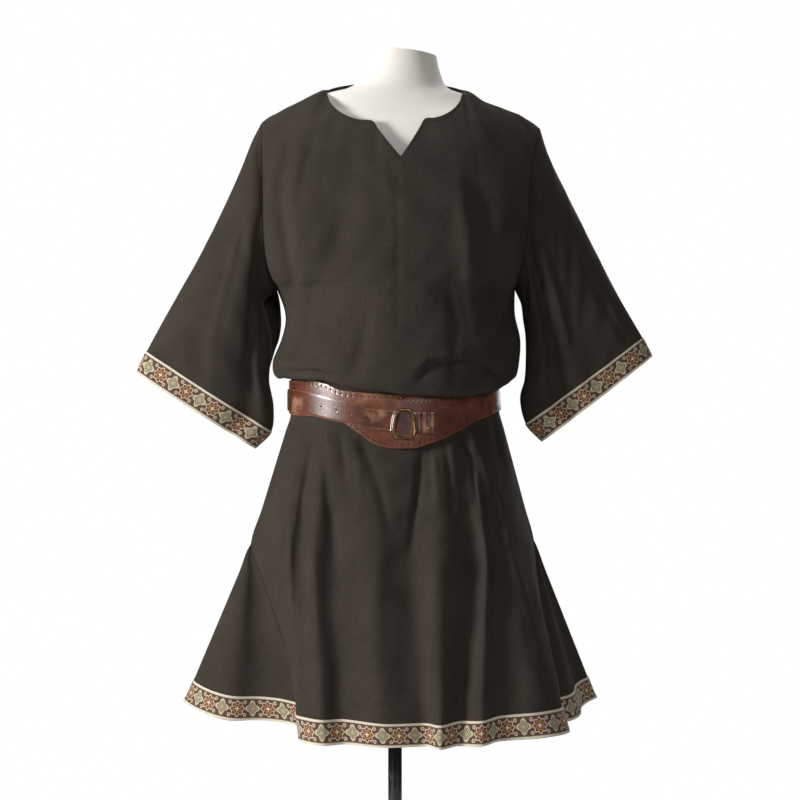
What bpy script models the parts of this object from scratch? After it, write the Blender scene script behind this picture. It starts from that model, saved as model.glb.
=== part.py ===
"""A belted wool tunic on a dress form and stand.

Metres, +Z up. The origin is on the pole's axis, under the base. The front faces -Y and +X is the
viewer's right. The tunic is a ring of panels: front, right gore, back, left gore, seen from above
in that order, and two sleeves. Each panel is a grid of outer points: rows run up from the hem and
columns run round the body. The wall goes inwards along normals that neighbours share at a seam.
"""

import math

import bmesh
import bpy
import numpy as np

COLLECTION = "tunic_on_dress_form"

# Thicknesses and clearances
CLOTH = 0.0016
BRAID = 0.0010
SEAM_BODY = 0.00015
SEAM_JOINED = 0.00040
REST_GAP = 0.0003
BELT_GAP = 0.0005
LEATHER = 0.0030
STRAP = 0.0025

# The waist under the belt, an ellipse
WAIST_HALF_WIDTH = 0.166
WAIST_DEPTH = 0.120
BELT_COVER = -0.001

# The share of the skirt's height where the gores begin, and their width there
APEX_SHARE = 0.57
APEX_HALF = 0.0015

# Shares of the skirt's height where the grid has its rows. The first above the hem ends the braid.
SKIRT_SHARES = (0.0, 0.076, 0.16, 0.26, 0.36, 0.47, APEX_SHARE, 0.68, 0.78, 0.87, 0.94, 1.0)

# name, angle at the belt, x and y at the gores' tips, x, y and z at the hem
FRONT_FOLDS = (
    ("left seam", -90, -0.230, -0.0015, -0.124, -0.100, 0.436),
    ("left turn", -74, -0.200, -0.048, -0.143, -0.132, 0.435),
    ("left edge", -56, -0.163, -0.125, -0.147, -0.172, 0.433),
    ("small valley", -47, -0.146, -0.128, -0.130, -0.196, 0.431),
    ("narrow crest", -39, -0.124, -0.148, -0.106, -0.212, 0.430),
    ("left valley", -29, -0.098, -0.141, -0.074, -0.198, 0.430),
    ("broad crest", -9, -0.030, -0.172, -0.014, -0.224, 0.429),
    ("middle valley", 14, 0.026, -0.158, 0.046, -0.211, 0.429),
    ("middle crest", 25, 0.070, -0.174, 0.068, -0.238, 0.428),
    ("right valley", 38, 0.122, -0.141, 0.094, -0.215, 0.430),
    ("slim crest", 44, 0.141, -0.150, 0.128, -0.232, 0.432),
    ("slim valley", 49, 0.152, -0.130, 0.160, -0.205, 0.436),
    ("right crest", 59, 0.180, -0.120, 0.215, -0.205, 0.440),
    ("right edge", 74, 0.207, -0.070, 0.266, -0.165, 0.444),
    ("right seam", 90, 0.222, -0.0015, 0.246, -0.100, 0.446),
)

# The same columns for the back, from its right seam to its left one, with the angle from the back
BACK_FOLDS = (
    ("right seam", -90, 0.222, 0.0015, 0.172, 0.118, 0.452),
    ("right edge", -70, 0.188, 0.082, 0.184, 0.166, 0.447),
    ("right crest", -54, 0.160, 0.120, 0.150, 0.200, 0.441),
    ("right valley", -40, 0.122, 0.126, 0.112, 0.184, 0.438),
    ("inner crest", -24, 0.078, 0.152, 0.078, 0.218, 0.436),
    ("middle valley", -6, 0.022, 0.144, 0.018, 0.196, 0.436),
    ("broad crest", 12, -0.038, 0.162, -0.040, 0.224, 0.435),
    ("left valley", 32, -0.098, 0.134, -0.092, 0.188, 0.437),
    ("left crest", 48, -0.146, 0.128, -0.140, 0.204, 0.441),
    ("left edge", 68, -0.194, 0.078, -0.182, 0.168, 0.447),
    ("left seam", 90, -0.230, 0.0015, -0.184, 0.122, 0.452),
)

# name, share across the gore from its first seam, x, y and z at the hem
RIGHT_GORE = (
    ("front seam", 0.0, 0.246, -0.100, 0.446),
    ("front crest", 0.16, 0.288, -0.072, 0.452),
    ("front valley", 0.32, 0.296, -0.030, 0.464),
    ("corner", 0.52, 0.324, 0.012, 0.473),
    ("back valley", 0.68, 0.288, 0.052, 0.466),
    ("back crest", 0.84, 0.246, 0.100, 0.458),
    ("back seam", 1.0, 0.172, 0.118, 0.452),
)
LEFT_GORE = (
    ("back seam", 0.0, -0.184, 0.122, 0.452),
    ("back crest", 0.18, -0.246, 0.110, 0.458),
    ("back valley", 0.34, -0.282, 0.046, 0.466),
    ("corner", 0.50, -0.338, 0.004, 0.470),
    ("front crest", 0.68, -0.268, -0.070, 0.448),
    ("front valley", 0.84, -0.200, -0.052, 0.445),
    ("inner crest", 0.93, -0.156, -0.070, 0.441),
    ("front seam", 1.0, -0.124, -0.100, 0.436),
)

# Gathers that start under the belt: panel, angle, half width in degrees, rise, reach down as a share
GATHERS = (
    ("front", -66, 5.0, 0.006, 0.30),
    ("front", -21, 4.5, 0.005, 0.22),
    ("front", -14, 3.5, -0.005, 0.18),
    ("front", 4, 4.5, 0.004, 0.16),
    ("front", 20, 3.5, -0.006, 0.24),
    ("front", 31, 4.0, 0.006, 0.26),
    ("front", 68, 5.0, -0.006, 0.30),
    ("back", -62, 5.0, -0.006, 0.28),
    ("back", -32, 4.5, 0.006, 0.24),
    ("back", -15, 4.0, -0.005, 0.20),
    ("back", 3, 4.5, 0.006, 0.24),
    ("back", 22, 4.0, -0.005, 0.20),
    ("back", 40, 4.5, 0.006, 0.26),
    ("back", 58, 5.0, -0.005, 0.22),
)

# The belt's edges and the blouse over it: angle from the front, belt top, belt bottom, blouse's lip
BELT_EDGES = (
    (-180, 0.985, 0.945, 0.990),
    (-120, 0.985, 0.943, 0.990),
    (-90, 0.981, 0.930, 0.985),
    (-68, 0.980, 0.926, 0.983),
    (-50, 0.980, 0.925, 0.981),
    (-40, 0.9755, 0.9236, 0.980),
    (-30, 0.9655, 0.917, 0.975),
    (-19, 0.9615, 0.898, 0.968),
    (-10, 0.9595, 0.8815, 0.963),
    (0, 0.9580, 0.8755, 0.959),
    (9, 0.9575, 0.8755, 0.956),
    (18, 0.9575, 0.882, 0.955),
    (27, 0.958, 0.8915, 0.955),
    (38, 0.959, 0.905, 0.9565),
    (49, 0.962, 0.917, 0.960),
    (65, 0.968, 0.927, 0.970),
    (79, 0.973, 0.933, 0.979),
    (90, 0.977, 0.936, 0.983),
    (120, 0.983, 0.943, 0.988),
    (180, 0.985, 0.945, 0.990),
)
FLOOR_LINE, BELT_TOP, BELT_LOW, BLOUSE_LIP = 0, 1, 2, 3

# Rows of the body over the belt: the line that heights are counted from, heights at the front,
# left, right and back, half widths at the left and right, depths at the front and back
BODY_ROWS = (
    ("belt top", BELT_TOP, 0.003, 0.003, 0.003, 0.003, 0.166, 0.166, 0.1202, 0.1202),
    ("tuck", BELT_TOP, 0.013, 0.010, 0.010, 0.011, 0.174, 0.174, 0.131, 0.128),
    ("droop", BLOUSE_LIP, 0.000, 0.000, 0.000, 0.000, 0.186, 0.186, 0.145, 0.139),
    ("lip", BLOUSE_LIP, 0.010, 0.006, 0.007, 0.007, 0.1935, 0.194, 0.155, 0.148),
    ("blouse", FLOOR_LINE, 0.998, 1.010, 1.009, 1.016, 0.1950, 0.1985, 0.159, 0.152),
    ("full", FLOOR_LINE, 1.040, 1.045, 1.045, 1.050, 0.1820, 0.2005, 0.158, 0.151),
    ("rib", FLOOR_LINE, 1.082, 1.084, 1.084, 1.086, 0.1745, 0.1920, 0.152, 0.148),
    ("armpit", FLOOR_LINE, 1.125, 1.125, 1.125, 1.125, 0.1880, 0.1920, 0.148, 0.146),
)

# Rows beside the armhole: height, half widths left and right, armhole depth, depths front and back
CHEST_ROWS = (
    (1.136, 0.1925, 0.1935, 0.024, 0.148, 0.146),
    (1.158, 0.201, 0.197, 0.046, 0.147, 0.145),
    (1.190, 0.205, 0.203, 0.061, 0.146, 0.145),
    (1.225, 0.207, 0.209, 0.066, 0.145, 0.145),
)
ARCH_ROWS = 8

# The shoulder ridge: x, z. Between the neck points it is where the neck hole is cut
RIDGE = (
    (-0.213, 1.394),
    (-0.206, 1.400),
    (-0.180, 1.413),
    (-0.152, 1.428),
    (-0.110, 1.446),
    (0.000, 1.452),
    (0.109, 1.446),
    (0.138, 1.430),
    (0.190, 1.409),
    (0.218, 1.395),
    (0.232, 1.384),
)
NECK_LEFT = -0.110
NECK_RIGHT = 0.109
NECK_POINT_Z = 1.446
SLIT_LEFT = (-0.0355, 1.385)
SLIT_TIP = (0.0095, 1.327)
SLIT_RIGHT = (0.0468, 1.388)
SLIT_CURVE = 1.12
TIP_LEFT = -0.213
TIP_RIGHT = 0.232
NAPE_RISE = 0.022
NAPE_ARCH = 0.054

# Columns of the front, counted from the left: left shoulder, neck, slit, neck, right shoulder
FRONT_COLUMNS = 42
FRONT_NECK_COLUMNS = (9, 15, 20, 25, 31)
BACK_COLUMNS = 30
BACK_NECK_COLUMNS = (9, 22)
GORE_COLUMNS = 10

# Soft folds of the chest and back: panel, three points as x and z, half width, rise
CHEST_FOLDS = (
    ("front", (-0.172, 1.345), (-0.186, 1.270), (-0.160, 1.120), 0.014, -0.007),
    ("front", (-0.150, 1.340), (-0.166, 1.270), (-0.138, 1.100), 0.016, 0.004),
    ("front", (-0.078, 1.310), (-0.090, 1.180), (-0.148, 1.045), 0.022, -0.007),
    ("front", (0.094, 1.310), (0.114, 1.200), (0.130, 1.020), 0.014, 0.007),
    ("front", (0.122, 1.300), (0.140, 1.200), (0.156, 1.060), 0.018, -0.009),
    ("front", (0.206, 1.230), (0.180, 1.130), (0.136, 1.050), 0.012, 0.007),
    ("front", (0.030, 1.010), (0.055, 1.000), (0.120, 1.010), 0.012, -0.006),
    ("back", (0.170, 1.300), (0.150, 1.180), (0.150, 1.040), 0.018, -0.008),
    ("back", (0.090, 1.340), (0.100, 1.180), (0.080, 1.030), 0.020, 0.006),
    ("back", (-0.020, 1.250), (-0.010, 1.120), (0.000, 1.010), 0.022, -0.006),
    ("back", (-0.100, 1.320), (-0.110, 1.170), (-0.090, 1.030), 0.020, 0.006),
    ("back", (-0.175, 1.300), (-0.160, 1.170), (-0.150, 1.040), 0.018, -0.008),
)

# Sleeve sections: top x and z, lowest x and z, half depth, how far the back's underside is tucked
LEFT_SLEEVE = (
    (-0.213, 1.394, -0.188, 1.125, 0.066, 0.000),
    (-0.227, 1.366, -0.210, 1.106, 0.069, 0.000),
    (-0.246, 1.318, -0.214, 1.082, 0.070, 0.028),
    (-0.276, 1.252, -0.209, 1.050, 0.066, 0.034),
    (-0.311, 1.182, -0.2055, 1.015, 0.060, 0.022),
    (-0.346, 1.120, -0.2035, 0.980, 0.053, 0.008),
    (-0.3787, 1.062, -0.194, 0.938, 0.046, 0.000),
    (-0.397, 1.028, -0.1976, 0.9004, 0.041, 0.000),
    (-0.413, 0.994, -0.2235, 0.873, 0.038, 0.000),
)
RIGHT_SLEEVE = (
    (0.232, 1.384, 0.192, 1.125, 0.066, 0.000),
    (0.2454, 1.340, 0.202, 1.102, 0.069, 0.000),
    (0.2620, 1.304, 0.205, 1.078, 0.070, 0.000),
    (0.2890, 1.250, 0.2085, 1.052, 0.066, 0.000),
    (0.3230, 1.182, 0.2090, 1.016, 0.060, 0.000),
    (0.3560, 1.118, 0.2070, 0.982, 0.053, 0.000),
    (0.3820, 1.073, 0.2000, 0.950, 0.046, 0.000),
    (0.3957, 1.050, 0.2090, 0.9126, 0.041, 0.000),
    (0.4110, 1.020, 0.2350, 0.884, 0.038, 0.000),
)
TUCK_PLACE = -0.65
TUCK_WIDTH = 0.45
SLEEVE_SQUARENESS = 0.85

# Folds along the sleeves: sleeve, side, place from -1 under to 1 on top, half width, rise
SLEEVE_FOLDS = (
    ("left", "front", -0.62, 0.16, -0.008),
    ("left", "front", -0.10, 0.22, 0.004),
    ("left", "back", -0.20, 0.20, -0.007),
    ("left", "back", 0.35, 0.20, 0.005),
    ("right", "front", -0.66, 0.13, 0.006),
    ("right", "front", -0.40, 0.13, -0.009),
    ("right", "front", -0.12, 0.15, 0.006),
    ("right", "back", -0.30, 0.20, -0.007),
    ("right", "back", 0.25, 0.20, 0.005),
)

# The form's sections: height, reach left and right, reach front and back
FORM_SECTIONS = (
    (0.715, 0.118, 0.118, 0.078, 0.082),
    (0.722, 0.146, 0.146, 0.100, 0.106),
    (0.760, 0.160, 0.160, 0.112, 0.120),
    (0.830, 0.156, 0.157, 0.108, 0.114),
    (0.900, 0.142, 0.144, 0.098, 0.102),
    (0.960, 0.134, 0.138, 0.094, 0.096),
    (1.040, 0.144, 0.150, 0.104, 0.102),
    (1.130, 0.162, 0.172, 0.120, 0.112),
    (1.210, 0.174, 0.188, 0.126, 0.118),
    (1.290, 0.184, 0.200, 0.118, 0.112),
    (1.345, 0.190, 0.205, 0.104, 0.096),
    (1.380, 0.189, 0.201, 0.088, 0.078),
    (1.398, 0.184, 0.194, 0.074, 0.066),
    (1.4095, 0.1785, 0.1790, 0.062, 0.058),
    (1.4240, 0.1515, 0.1450, 0.056, 0.054),
    (1.4350, 0.1280, 0.1220, 0.053, 0.052),
    (1.4415, 0.1020, 0.1010, 0.052, 0.051),
    (1.4480, 0.0760, 0.0860, 0.051, 0.051),
    (1.4580, 0.0600, 0.0780, 0.050, 0.050),
    (1.4810, 0.0450, 0.0705, 0.049, 0.049),
    (1.5050, 0.0400, 0.0665, 0.049, 0.049),
)
FORM_TOP_TILT = 0.006
FORM_COLUMNS = 32

# The stand
POLE_RADIUS = 0.011
BASE_RADIUS = 0.170
BASE_THICK = 0.012
BASE_EDGE = 0.004
COLLAR_RADIUS = 0.021
COLLAR_HEIGHT = 0.048
COLLAR_EDGE = 0.002
COLLAR_FILLET = 0.004
BASE_FALL = 0.001
TURN_STEPS = 36

# The belt
BAND_COLUMNS = 76
BAND_ROWS = 4
OUTER_END = -3.0
INNER_END = 11.0
LAP_OFFSET = 0.0035
LAP_EASE_FROM = 24.0
LAP_EASE_TO = 46.0
END_ROUND_TOP = 0.036
END_ROUND_LOW = 0.009
END_ROUND_TOP_SHARE = 0.35
END_ROUND_LOW_SHARE = 0.20
END_SHARE = 0.10

TONGUE_TIP = -89.0
TONGUE_HALF = 0.0175
TONGUE_POINT = 0.020
TONGUE_END_HALF = 0.0150
TONGUE_LINE = ((-90, 0.9500), (-65, 0.9475), (-28, 0.9315), (-7, 0.9185), (5, 0.9165))
TONGUE_BLUNT = 0.30
TONGUE_NARROW = (-40.0, 30.0)
TONGUE_LEAN = (-12.0, 9.0)
TONGUE_FLAT_END = -13.0
TONGUE_COLUMNS = 22
CURL_GAP = 0.0006
CURL_TURN = (-105.0, 75.0)
CURL_COLUMNS = 8

WIRE_RADIUS = 0.0020
RING_CENTRE = (0.0150, 0.9133)
RING_HALF_WIDTH = 0.0155
RING_TAPER = 0.0036
RING_ROUND_X = 0.45
RING_ROUND_Z = 0.80
RING_HALF_HEIGHT = 0.0222
RING_POINTS = 28
RING_OFF_LEFT = 0.0122
RING_OFF_RIGHT = 0.0118

# The tab's stations across, from its edge behind the ring's bar to its far end
TAB_STEP = 0.0356
TAB_STATIONS = (0.0265, 0.0310, TAB_STEP - 0.0012, TAB_STEP, 0.042, 0.050, 0.056, 0.0610)
TAB_LOW = 0.8985
TAB_HIGH = 0.9310
TAB_BACK_LAYER = 0.0020
TAB_FULL = 0.0045
RIVET_PLACE = (0.0525, 0.9060)
RIVET_RADIUS = 0.0030
RIVET_HEIGHT = 0.0013
RIVET_TOP_SHARE = 0.55
RIVET_SIDES = 20

# Colours, roughness and metallic value
FINISHES = {
    "cloth": ((0.045, 0.039, 0.031), 0.92, 0.0),
    "braid": ((0.42, 0.28, 0.17), 0.80, 0.0),
    "leather": ((0.16, 0.055, 0.025), 0.38, 0.0),
    "brass": ((0.33, 0.22, 0.11), 0.35, 1.0),
    "form": ((0.90, 0.86, 0.78), 0.70, 0.0),
    "metal": ((0.012, 0.011, 0.011), 0.25, 0.6),
}


def clear_scene():
    for item in list(bpy.data.objects):
        bpy.data.objects.remove(item, do_unlink=True)


def new_collection(name):
    collection = bpy.data.collections.new(name)
    bpy.context.scene.collection.children.link(collection)
    return collection


def finish_of(name, kind):
    """A material for one piece, from its kind of finish."""
    colour, roughness, metallic = FINISHES[kind]
    material = bpy.data.materials.new(name)
    material.use_nodes = True
    shader = material.node_tree.nodes["Principled BSDF"]
    shader.inputs["Base Color"].default_value = (*colour, 1.0)
    shader.inputs["Roughness"].default_value = roughness
    shader.inputs["Metallic"].default_value = metallic
    return material


def add_object(collection, name, mesh, kind):
    mesh.materials.append(finish_of(name, kind))
    piece = bpy.data.objects.new(name, mesh)
    collection.objects.link(piece)
    return piece


def smooth(value):
    """0 to 1 with level ends."""
    held = np.clip(value, 0.0, 1.0)
    return held * held * (3.0 - 2.0 * held)


def curve_through(places, values, at):
    """A smooth curve through values at rising places, read at the places in at. It never
    overshoots, because its slope is level where the values turn."""
    places = np.asarray(places, float)
    values = np.asarray(values, float)
    at = np.clip(np.asarray(at, float), places[0], places[-1])
    steps = np.diff(places)
    slopes = np.diff(values) / steps
    turn = slopes[:-1] * slopes[1:] > 0
    inner = np.zeros(len(values) - 2)
    inner[turn] = 2.0 / (1.0 / slopes[:-1][turn] + 1.0 / slopes[1:][turn])
    slope = np.concatenate([[slopes[0]], inner, [slopes[-1]]])
    index = np.clip(np.searchsorted(places, at, side="right") - 1, 0, len(steps) - 1)
    step = steps[index]
    t = (at - places[index]) / step
    keep = (1.0 + 2.0 * t) * (1.0 - t) ** 2
    lean = t * (1.0 - t) ** 2 * step
    reach = t * t * (3.0 - 2.0 * t)
    arrive = t * t * (t - 1.0) * step
    return (
        keep * values[index]
        + lean * slope[index]
        + reach * values[index + 1]
        + arrive * slope[index + 1]
    )


def column_of(table, number):
    return [row[number] for row in table]


def belt_edge(angle, line):
    """The height of one of the belt's lines at an angle in degrees from the front."""
    return curve_through(column_of(BELT_EDGES, 0), column_of(BELT_EDGES, line), angle)


def from_the_front(angle, facing):
    """A panel's own angle in degrees as an angle from the front, from -180 to 180."""
    turned = angle if facing < 0 else 180.0 + angle
    return np.where(turned > 180.0, turned - 360.0, turned)


def waist_point(angle, off):
    """x and y on the waist's ellipse at an angle in degrees from the front, moved out."""
    turn = np.radians(angle)
    x = WAIST_HALF_WIDTH * np.sin(turn)
    y = -WAIST_DEPTH * np.cos(turn)
    across = WAIST_DEPTH * np.sin(turn)
    along = -WAIST_HALF_WIDTH * np.cos(turn)
    length = np.hypot(across, along)
    return x + off * across / length, y + off * along / length


def gather_rise(panel, angle, share):
    """How far the gathers lift the cloth below the belt."""
    rise = np.zeros(np.broadcast(angle, share).shape)
    below = 1.0 - share
    for side, place, half, height, reach in GATHERS:
        if side != panel:
            continue
        grow = smooth(below / 0.06)
        fade = 1.0 - smooth(below / reach)
        rise = rise + height * np.exp(-(((angle - place) / half) ** 2)) * grow * fade
    return rise


def skirt_rows(panel, table, columns, facing):
    """The skirt's rows of one panel, from the hem to the belt. facing is -1 at the front, 1 at
    the back."""
    stations = np.linspace(0.0, 1.0, len(table))
    across = np.linspace(0.0, 1.0, columns + 1)
    angle = curve_through(stations, column_of(table, 1), across)
    mid_x, mid_y, hem_x, hem_y, hem_z = (
        curve_through(stations, column_of(table, n), across) for n in range(2, 7)
    )
    front_angle = from_the_front(angle, facing)
    belt_x, belt_y = waist_point(front_angle, 0.0)
    belt_z = belt_edge(front_angle, BELT_LOW) + BELT_COVER
    rows = []
    for share in SKIRT_SHARES:
        if share <= APEX_SHARE:
            part = share / APEX_SHARE
            x = hem_x + (mid_x - hem_x) * part
            y = hem_y + (mid_y - hem_y) * part
        else:
            part = (share - APEX_SHARE) / (1.0 - APEX_SHARE)
            x = mid_x + (belt_x - mid_x) * part
            y = mid_y + (belt_y - mid_y) * part
        z = hem_z + (belt_z - hem_z) * share
        rise = gather_rise(panel, angle, np.full_like(angle, share))
        out_x, out_y = waist_point(front_angle, 1.0)
        x = x + rise * (out_x - belt_x)
        y = y + rise * (out_y - belt_y)
        rows.append(np.stack([x, y, z], axis=1))
    return np.array(rows), angle


def fold_lift(panel, x, z):
    """How far the chest's soft folds move the cloth out at x and z."""
    lift = np.zeros_like(x)
    for side, first, middle, last, half, rise in CHEST_FOLDS:
        if side != panel:
            continue
        nearest = np.full_like(x, 1e9)
        place = np.zeros_like(x)
        for number, (start, end) in enumerate(((first, middle), (middle, last))):
            run_x = end[0] - start[0]
            run_z = end[1] - start[1]
            along = ((x - start[0]) * run_x + (z - start[1]) * run_z) / (run_x**2 + run_z**2)
            held = np.clip(along, 0.0, 1.0)
            away = np.hypot(x - start[0] - held * run_x, z - start[1] - held * run_z)
            closer = away < nearest
            nearest = np.where(closer, away, nearest)
            place = np.where(closer, (number + held) / 2.0, place)
        ends = 0.35 + 0.65 * np.sin(np.pi * np.clip(place, 0.0, 1.0))
        lift = lift + rise * np.exp(-((nearest / half) ** 2)) * ends
    return lift


def body_rows(panel, belt_angle, columns, facing):
    """The rows over the belt up to the chest. They start with the belt's angles and end with
    even ones."""
    even = np.linspace(-90.0, 90.0, columns + 1)
    rows = []
    table = [
        (row[1], row[2:6], row[6], row[7], 0.0, row[8] if facing < 0 else row[9])
        for row in BODY_ROWS
    ]
    table += [
        (FLOOR_LINE, (row[0],) * 4, row[1], row[2], row[3], row[4] if facing < 0 else row[5])
        for row in CHEST_ROWS
    ]
    for number, (line, heights, left, right, armhole, depth) in enumerate(table):
        share = smooth(number / (len(table) - 1.0))
        angle = belt_angle + (even - belt_angle) * share
        turn = np.radians(angle)
        sine = np.sin(turn) * (1.0 if facing < 0 else -1.0)
        cosine = np.maximum(np.cos(turn), 0.0)
        x = np.where(sine < 0, left, right) * sine
        y = facing * (armhole + (depth - armhole) * cosine)
        side = np.where(sine < 0, heights[1], heights[2])
        middle = heights[0] if facing < 0 else heights[3]
        z = side + (middle - side) * cosine**2
        if line != FLOOR_LINE:
            z = z + belt_edge(from_the_front(angle, facing), line)
        lift = fold_lift(panel, x, z) * smooth((number - 3.0) / 2.0) * smooth(cosine / 0.3)
        rows.append(np.stack([x, y + facing * lift, z], axis=1))
    return np.array(rows)


def neck_front():
    """x, z and the arch's own height of each column's top on the front."""
    left, slit_left, tip, slit_right, right = FRONT_NECK_COLUMNS
    x = np.zeros(FRONT_COLUMNS + 1)
    x[: left + 1] = np.linspace(TIP_LEFT, NECK_LEFT, left + 1)
    x[right:] = np.linspace(NECK_RIGHT, TIP_RIGHT, FRONT_COLUMNS - right + 1)
    z = curve_through(column_of(RIDGE, 0), column_of(RIDGE, 1), x)
    arch = z.copy()
    for start, end, corner, point in (
        (left, slit_left, SLIT_LEFT, NECK_LEFT),
        (right, slit_right, SLIT_RIGHT, NECK_RIGHT),
    ):
        for number in range(abs(end - start) + 1):
            turn = math.pi / 2 * (1.0 - number / abs(end - start))
            place = start + number * (1 if end > start else -1)
            x[place] = corner[0] + (point - corner[0]) * math.sin(turn)
            z[place] = corner[1] + (NECK_POINT_Z - corner[1]) * (1.0 - math.cos(turn))
    for end, corner in ((slit_left, SLIT_LEFT), (slit_right, SLIT_RIGHT)):
        step = 1 if end > tip else -1
        for place in range(tip, end + step, step):
            share = abs(place - tip) / abs(end - tip)
            x[place] = SLIT_TIP[0] + (corner[0] - SLIT_TIP[0]) * share
            z[place] = SLIT_TIP[1] + (corner[1] - SLIT_TIP[1]) * share**SLIT_CURVE
    inside = slice(left, right + 1)
    arch[inside] = curve_through(column_of(RIDGE, 0), column_of(RIDGE, 1), x[inside])
    return x, z, arch


def neck_back():
    """The same for the back, whose columns run from the right to the left."""
    right, left = BACK_NECK_COLUMNS[0] - 1, BACK_NECK_COLUMNS[1]
    x = np.zeros(BACK_COLUMNS + 1)
    x[: right + 1] = np.linspace(TIP_RIGHT, NECK_RIGHT, right + 1)
    x[left:] = np.linspace(NECK_LEFT, TIP_LEFT, BACK_COLUMNS - left + 1)
    z = curve_through(column_of(RIDGE, 0), column_of(RIDGE, 1), x)
    arch = z.copy()
    middle = (NECK_LEFT + NECK_RIGHT) / 2
    half = (NECK_RIGHT - NECK_LEFT) / 2
    for place in range(right, left + 1):
        turn = math.pi / 2 * (1.0 - 2.0 * (place - right) / (left - right))
        x[place] = middle + half * math.sin(turn)
        z[place] = NECK_POINT_Z + NAPE_RISE * math.cos(turn)
        arch[place] = NECK_POINT_Z + NAPE_ARCH * math.cos(turn)
    return x, z, arch


def arch_rows(panel, chest, top, facing):
    """The rows from the chest over the shoulder to the ridge or the neck's edge."""
    top_x, top_z, arch_z = top
    base_z = chest[:, 2]
    chest_lift = fold_lift(panel, chest[:, 0], base_z)
    depth = np.abs(chest[:, 1]) - chest_lift * smooth(np.abs(chest[:, 1]) / 0.12)
    last = np.arcsin(np.clip((top_z - base_z) / (arch_z - base_z), 0.0, 1.0))
    rows = []
    for number in range(1, ARCH_ROWS + 1):
        share = number / ARCH_ROWS
        turn = last * share
        x = chest[:, 0] + (top_x - chest[:, 0]) * smooth(share)
        z = base_z + (arch_z - base_z) * np.sin(turn)
        lift = fold_lift(panel, x, z) * (1.0 - share)
        y = facing * (depth * np.cos(turn) + lift * np.cos(turn))
        rows.append(np.stack([x, y, z], axis=1))
    return np.array(rows)


def part_the_tips(panel):
    """Closes the side seams down to the gores' tips and opens them a little there."""
    apex = SKIRT_SHARES.index(APEX_SHARE)
    for column in (0, -1):
        side = 1.0 if panel[apex, len(panel[0]) // 2, 1] > 0 else -1.0
        panel[apex, column, 1] = side * APEX_HALF
        panel[apex + 1 : len(SKIRT_SHARES), column, 1] = 0.0
    return panel


def body_panel(name):
    """All rows of the front or the back, from the hem to the shoulder and neck."""
    front = name == "front"
    facing = -1 if front else 1
    table = FRONT_FOLDS if front else BACK_FOLDS
    columns = FRONT_COLUMNS if front else BACK_COLUMNS
    skirt, angle = skirt_rows(name, table, columns, facing)
    body = body_rows(name, angle, columns, facing)
    top = neck_front() if front else neck_back()
    arch = arch_rows(name, body[-1], top, facing)
    return part_the_tips(np.concatenate([skirt, body, arch]))


def gore(table, first_edge, last_edge):
    """A gore between two panels' edges, from the hem to its tip. Its folds fan from the tip."""
    rows = SKIRT_SHARES.index(APEX_SHARE) + 1
    across = np.linspace(0.0, 1.0, GORE_COLUMNS + 1)
    places = column_of(table, 1)
    hem = np.stack(
        [curve_through(places, column_of(table, n), across) for n in (2, 3, 4)], axis=1
    )
    tip = (first_edge[rows - 1] + last_edge[rows - 1]) / 2
    grid = np.zeros((rows, GORE_COLUMNS + 1, 3))
    for number in range(rows):
        open_share = 1.0 - SKIRT_SHARES[number] / APEX_SHARE
        fan = tip + (hem - tip) * open_share
        first = first_edge[number] - fan[0]
        last = last_edge[number] - fan[-1]
        grid[number] = fan + np.outer(1.0 - across, first) + np.outer(across, last)
    return grid


def armhole_loop(front_edge, back_edge, sign):
    """The armhole's points from its lowest one. The left one climbs the front, the right one
    the back, so that both sleeves face outwards."""
    lowest = (front_edge[0] + back_edge[0]) / 2
    tip = (front_edge[-1] + back_edge[-1]) / 2
    up, down = (front_edge, back_edge) if sign < 0 else (back_edge, front_edge)
    return np.array([lowest, *up[1:-1], tip, *down[-2:0:-1]])


def sleeve_turns(loop, lowest, top):
    """Each loop point's place from -1, under, to 1, on top."""
    place = 2.0 * (loop[:, 2] - lowest[2]) / (top[2] - lowest[2]) - 1.0
    return np.clip(place, -1.0, 1.0)


def sleeve_fold_lift(side_name, on_front, place):
    lift = np.zeros_like(place)
    for sleeve, side, middle, half, rise in SLEEVE_FOLDS:
        if sleeve != side_name:
            continue
        lift = lift + np.where(
            on_front == (side == "front"), rise * np.exp(-(((place - middle) / half) ** 2)), 0.0
        )
    return lift


def sleeve(side_name, sections, loop):
    """A sleeve from the armhole to the cuff. The first ring is the armhole itself."""
    sign = -1.0 if side_name == "left" else 1.0
    count = len(loop)
    place = sleeve_turns(loop, loop[0], loop[count // 2])
    number = np.arange(count)
    climbing = number < count // 2
    on_front = climbing if sign < 0 else ~climbing
    on_front[0] = on_front[count // 2] = True
    facing = np.where(on_front, -1.0, 1.0)
    depth_share = np.maximum(1.0 - place**2, 0.0) ** (SLEEVE_SQUARENESS / 2)
    tuck = np.exp(-(((place - TUCK_PLACE) / TUCK_WIDTH) ** 2))
    tuck = np.where(on_front, 0.0, tuck)
    tuck[0] = 0.3
    rings = [loop]
    last = len(sections) - 1
    for index in range(1, last + 1):
        top_x, top_z, low_x, low_z, depth, tucked = sections[index]
        share = (place + 1.0) / 2
        x = low_x + (top_x - low_x) * share - sign * tucked * tuck
        z = low_z + (top_z - low_z) * share
        fold = sleeve_fold_lift(side_name, on_front, place) * smooth(index / 2.0)
        y = facing * (depth * depth_share + fold * smooth(depth_share / 0.5))
        rings.append(np.stack([x, y, z], axis=1))
    return np.array(rings)


def normals_of(grid, closed=False):
    """Unit normals of a grid, facing out of the cloth."""
    if closed:
        across = np.roll(grid, -1, axis=1) - np.roll(grid, 1, axis=1)
    else:
        across = np.gradient(grid, axis=1)
    up = np.gradient(grid, axis=0)
    normal = np.cross(across, up)
    return normal / np.linalg.norm(normal, axis=2, keepdims=True)


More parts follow.
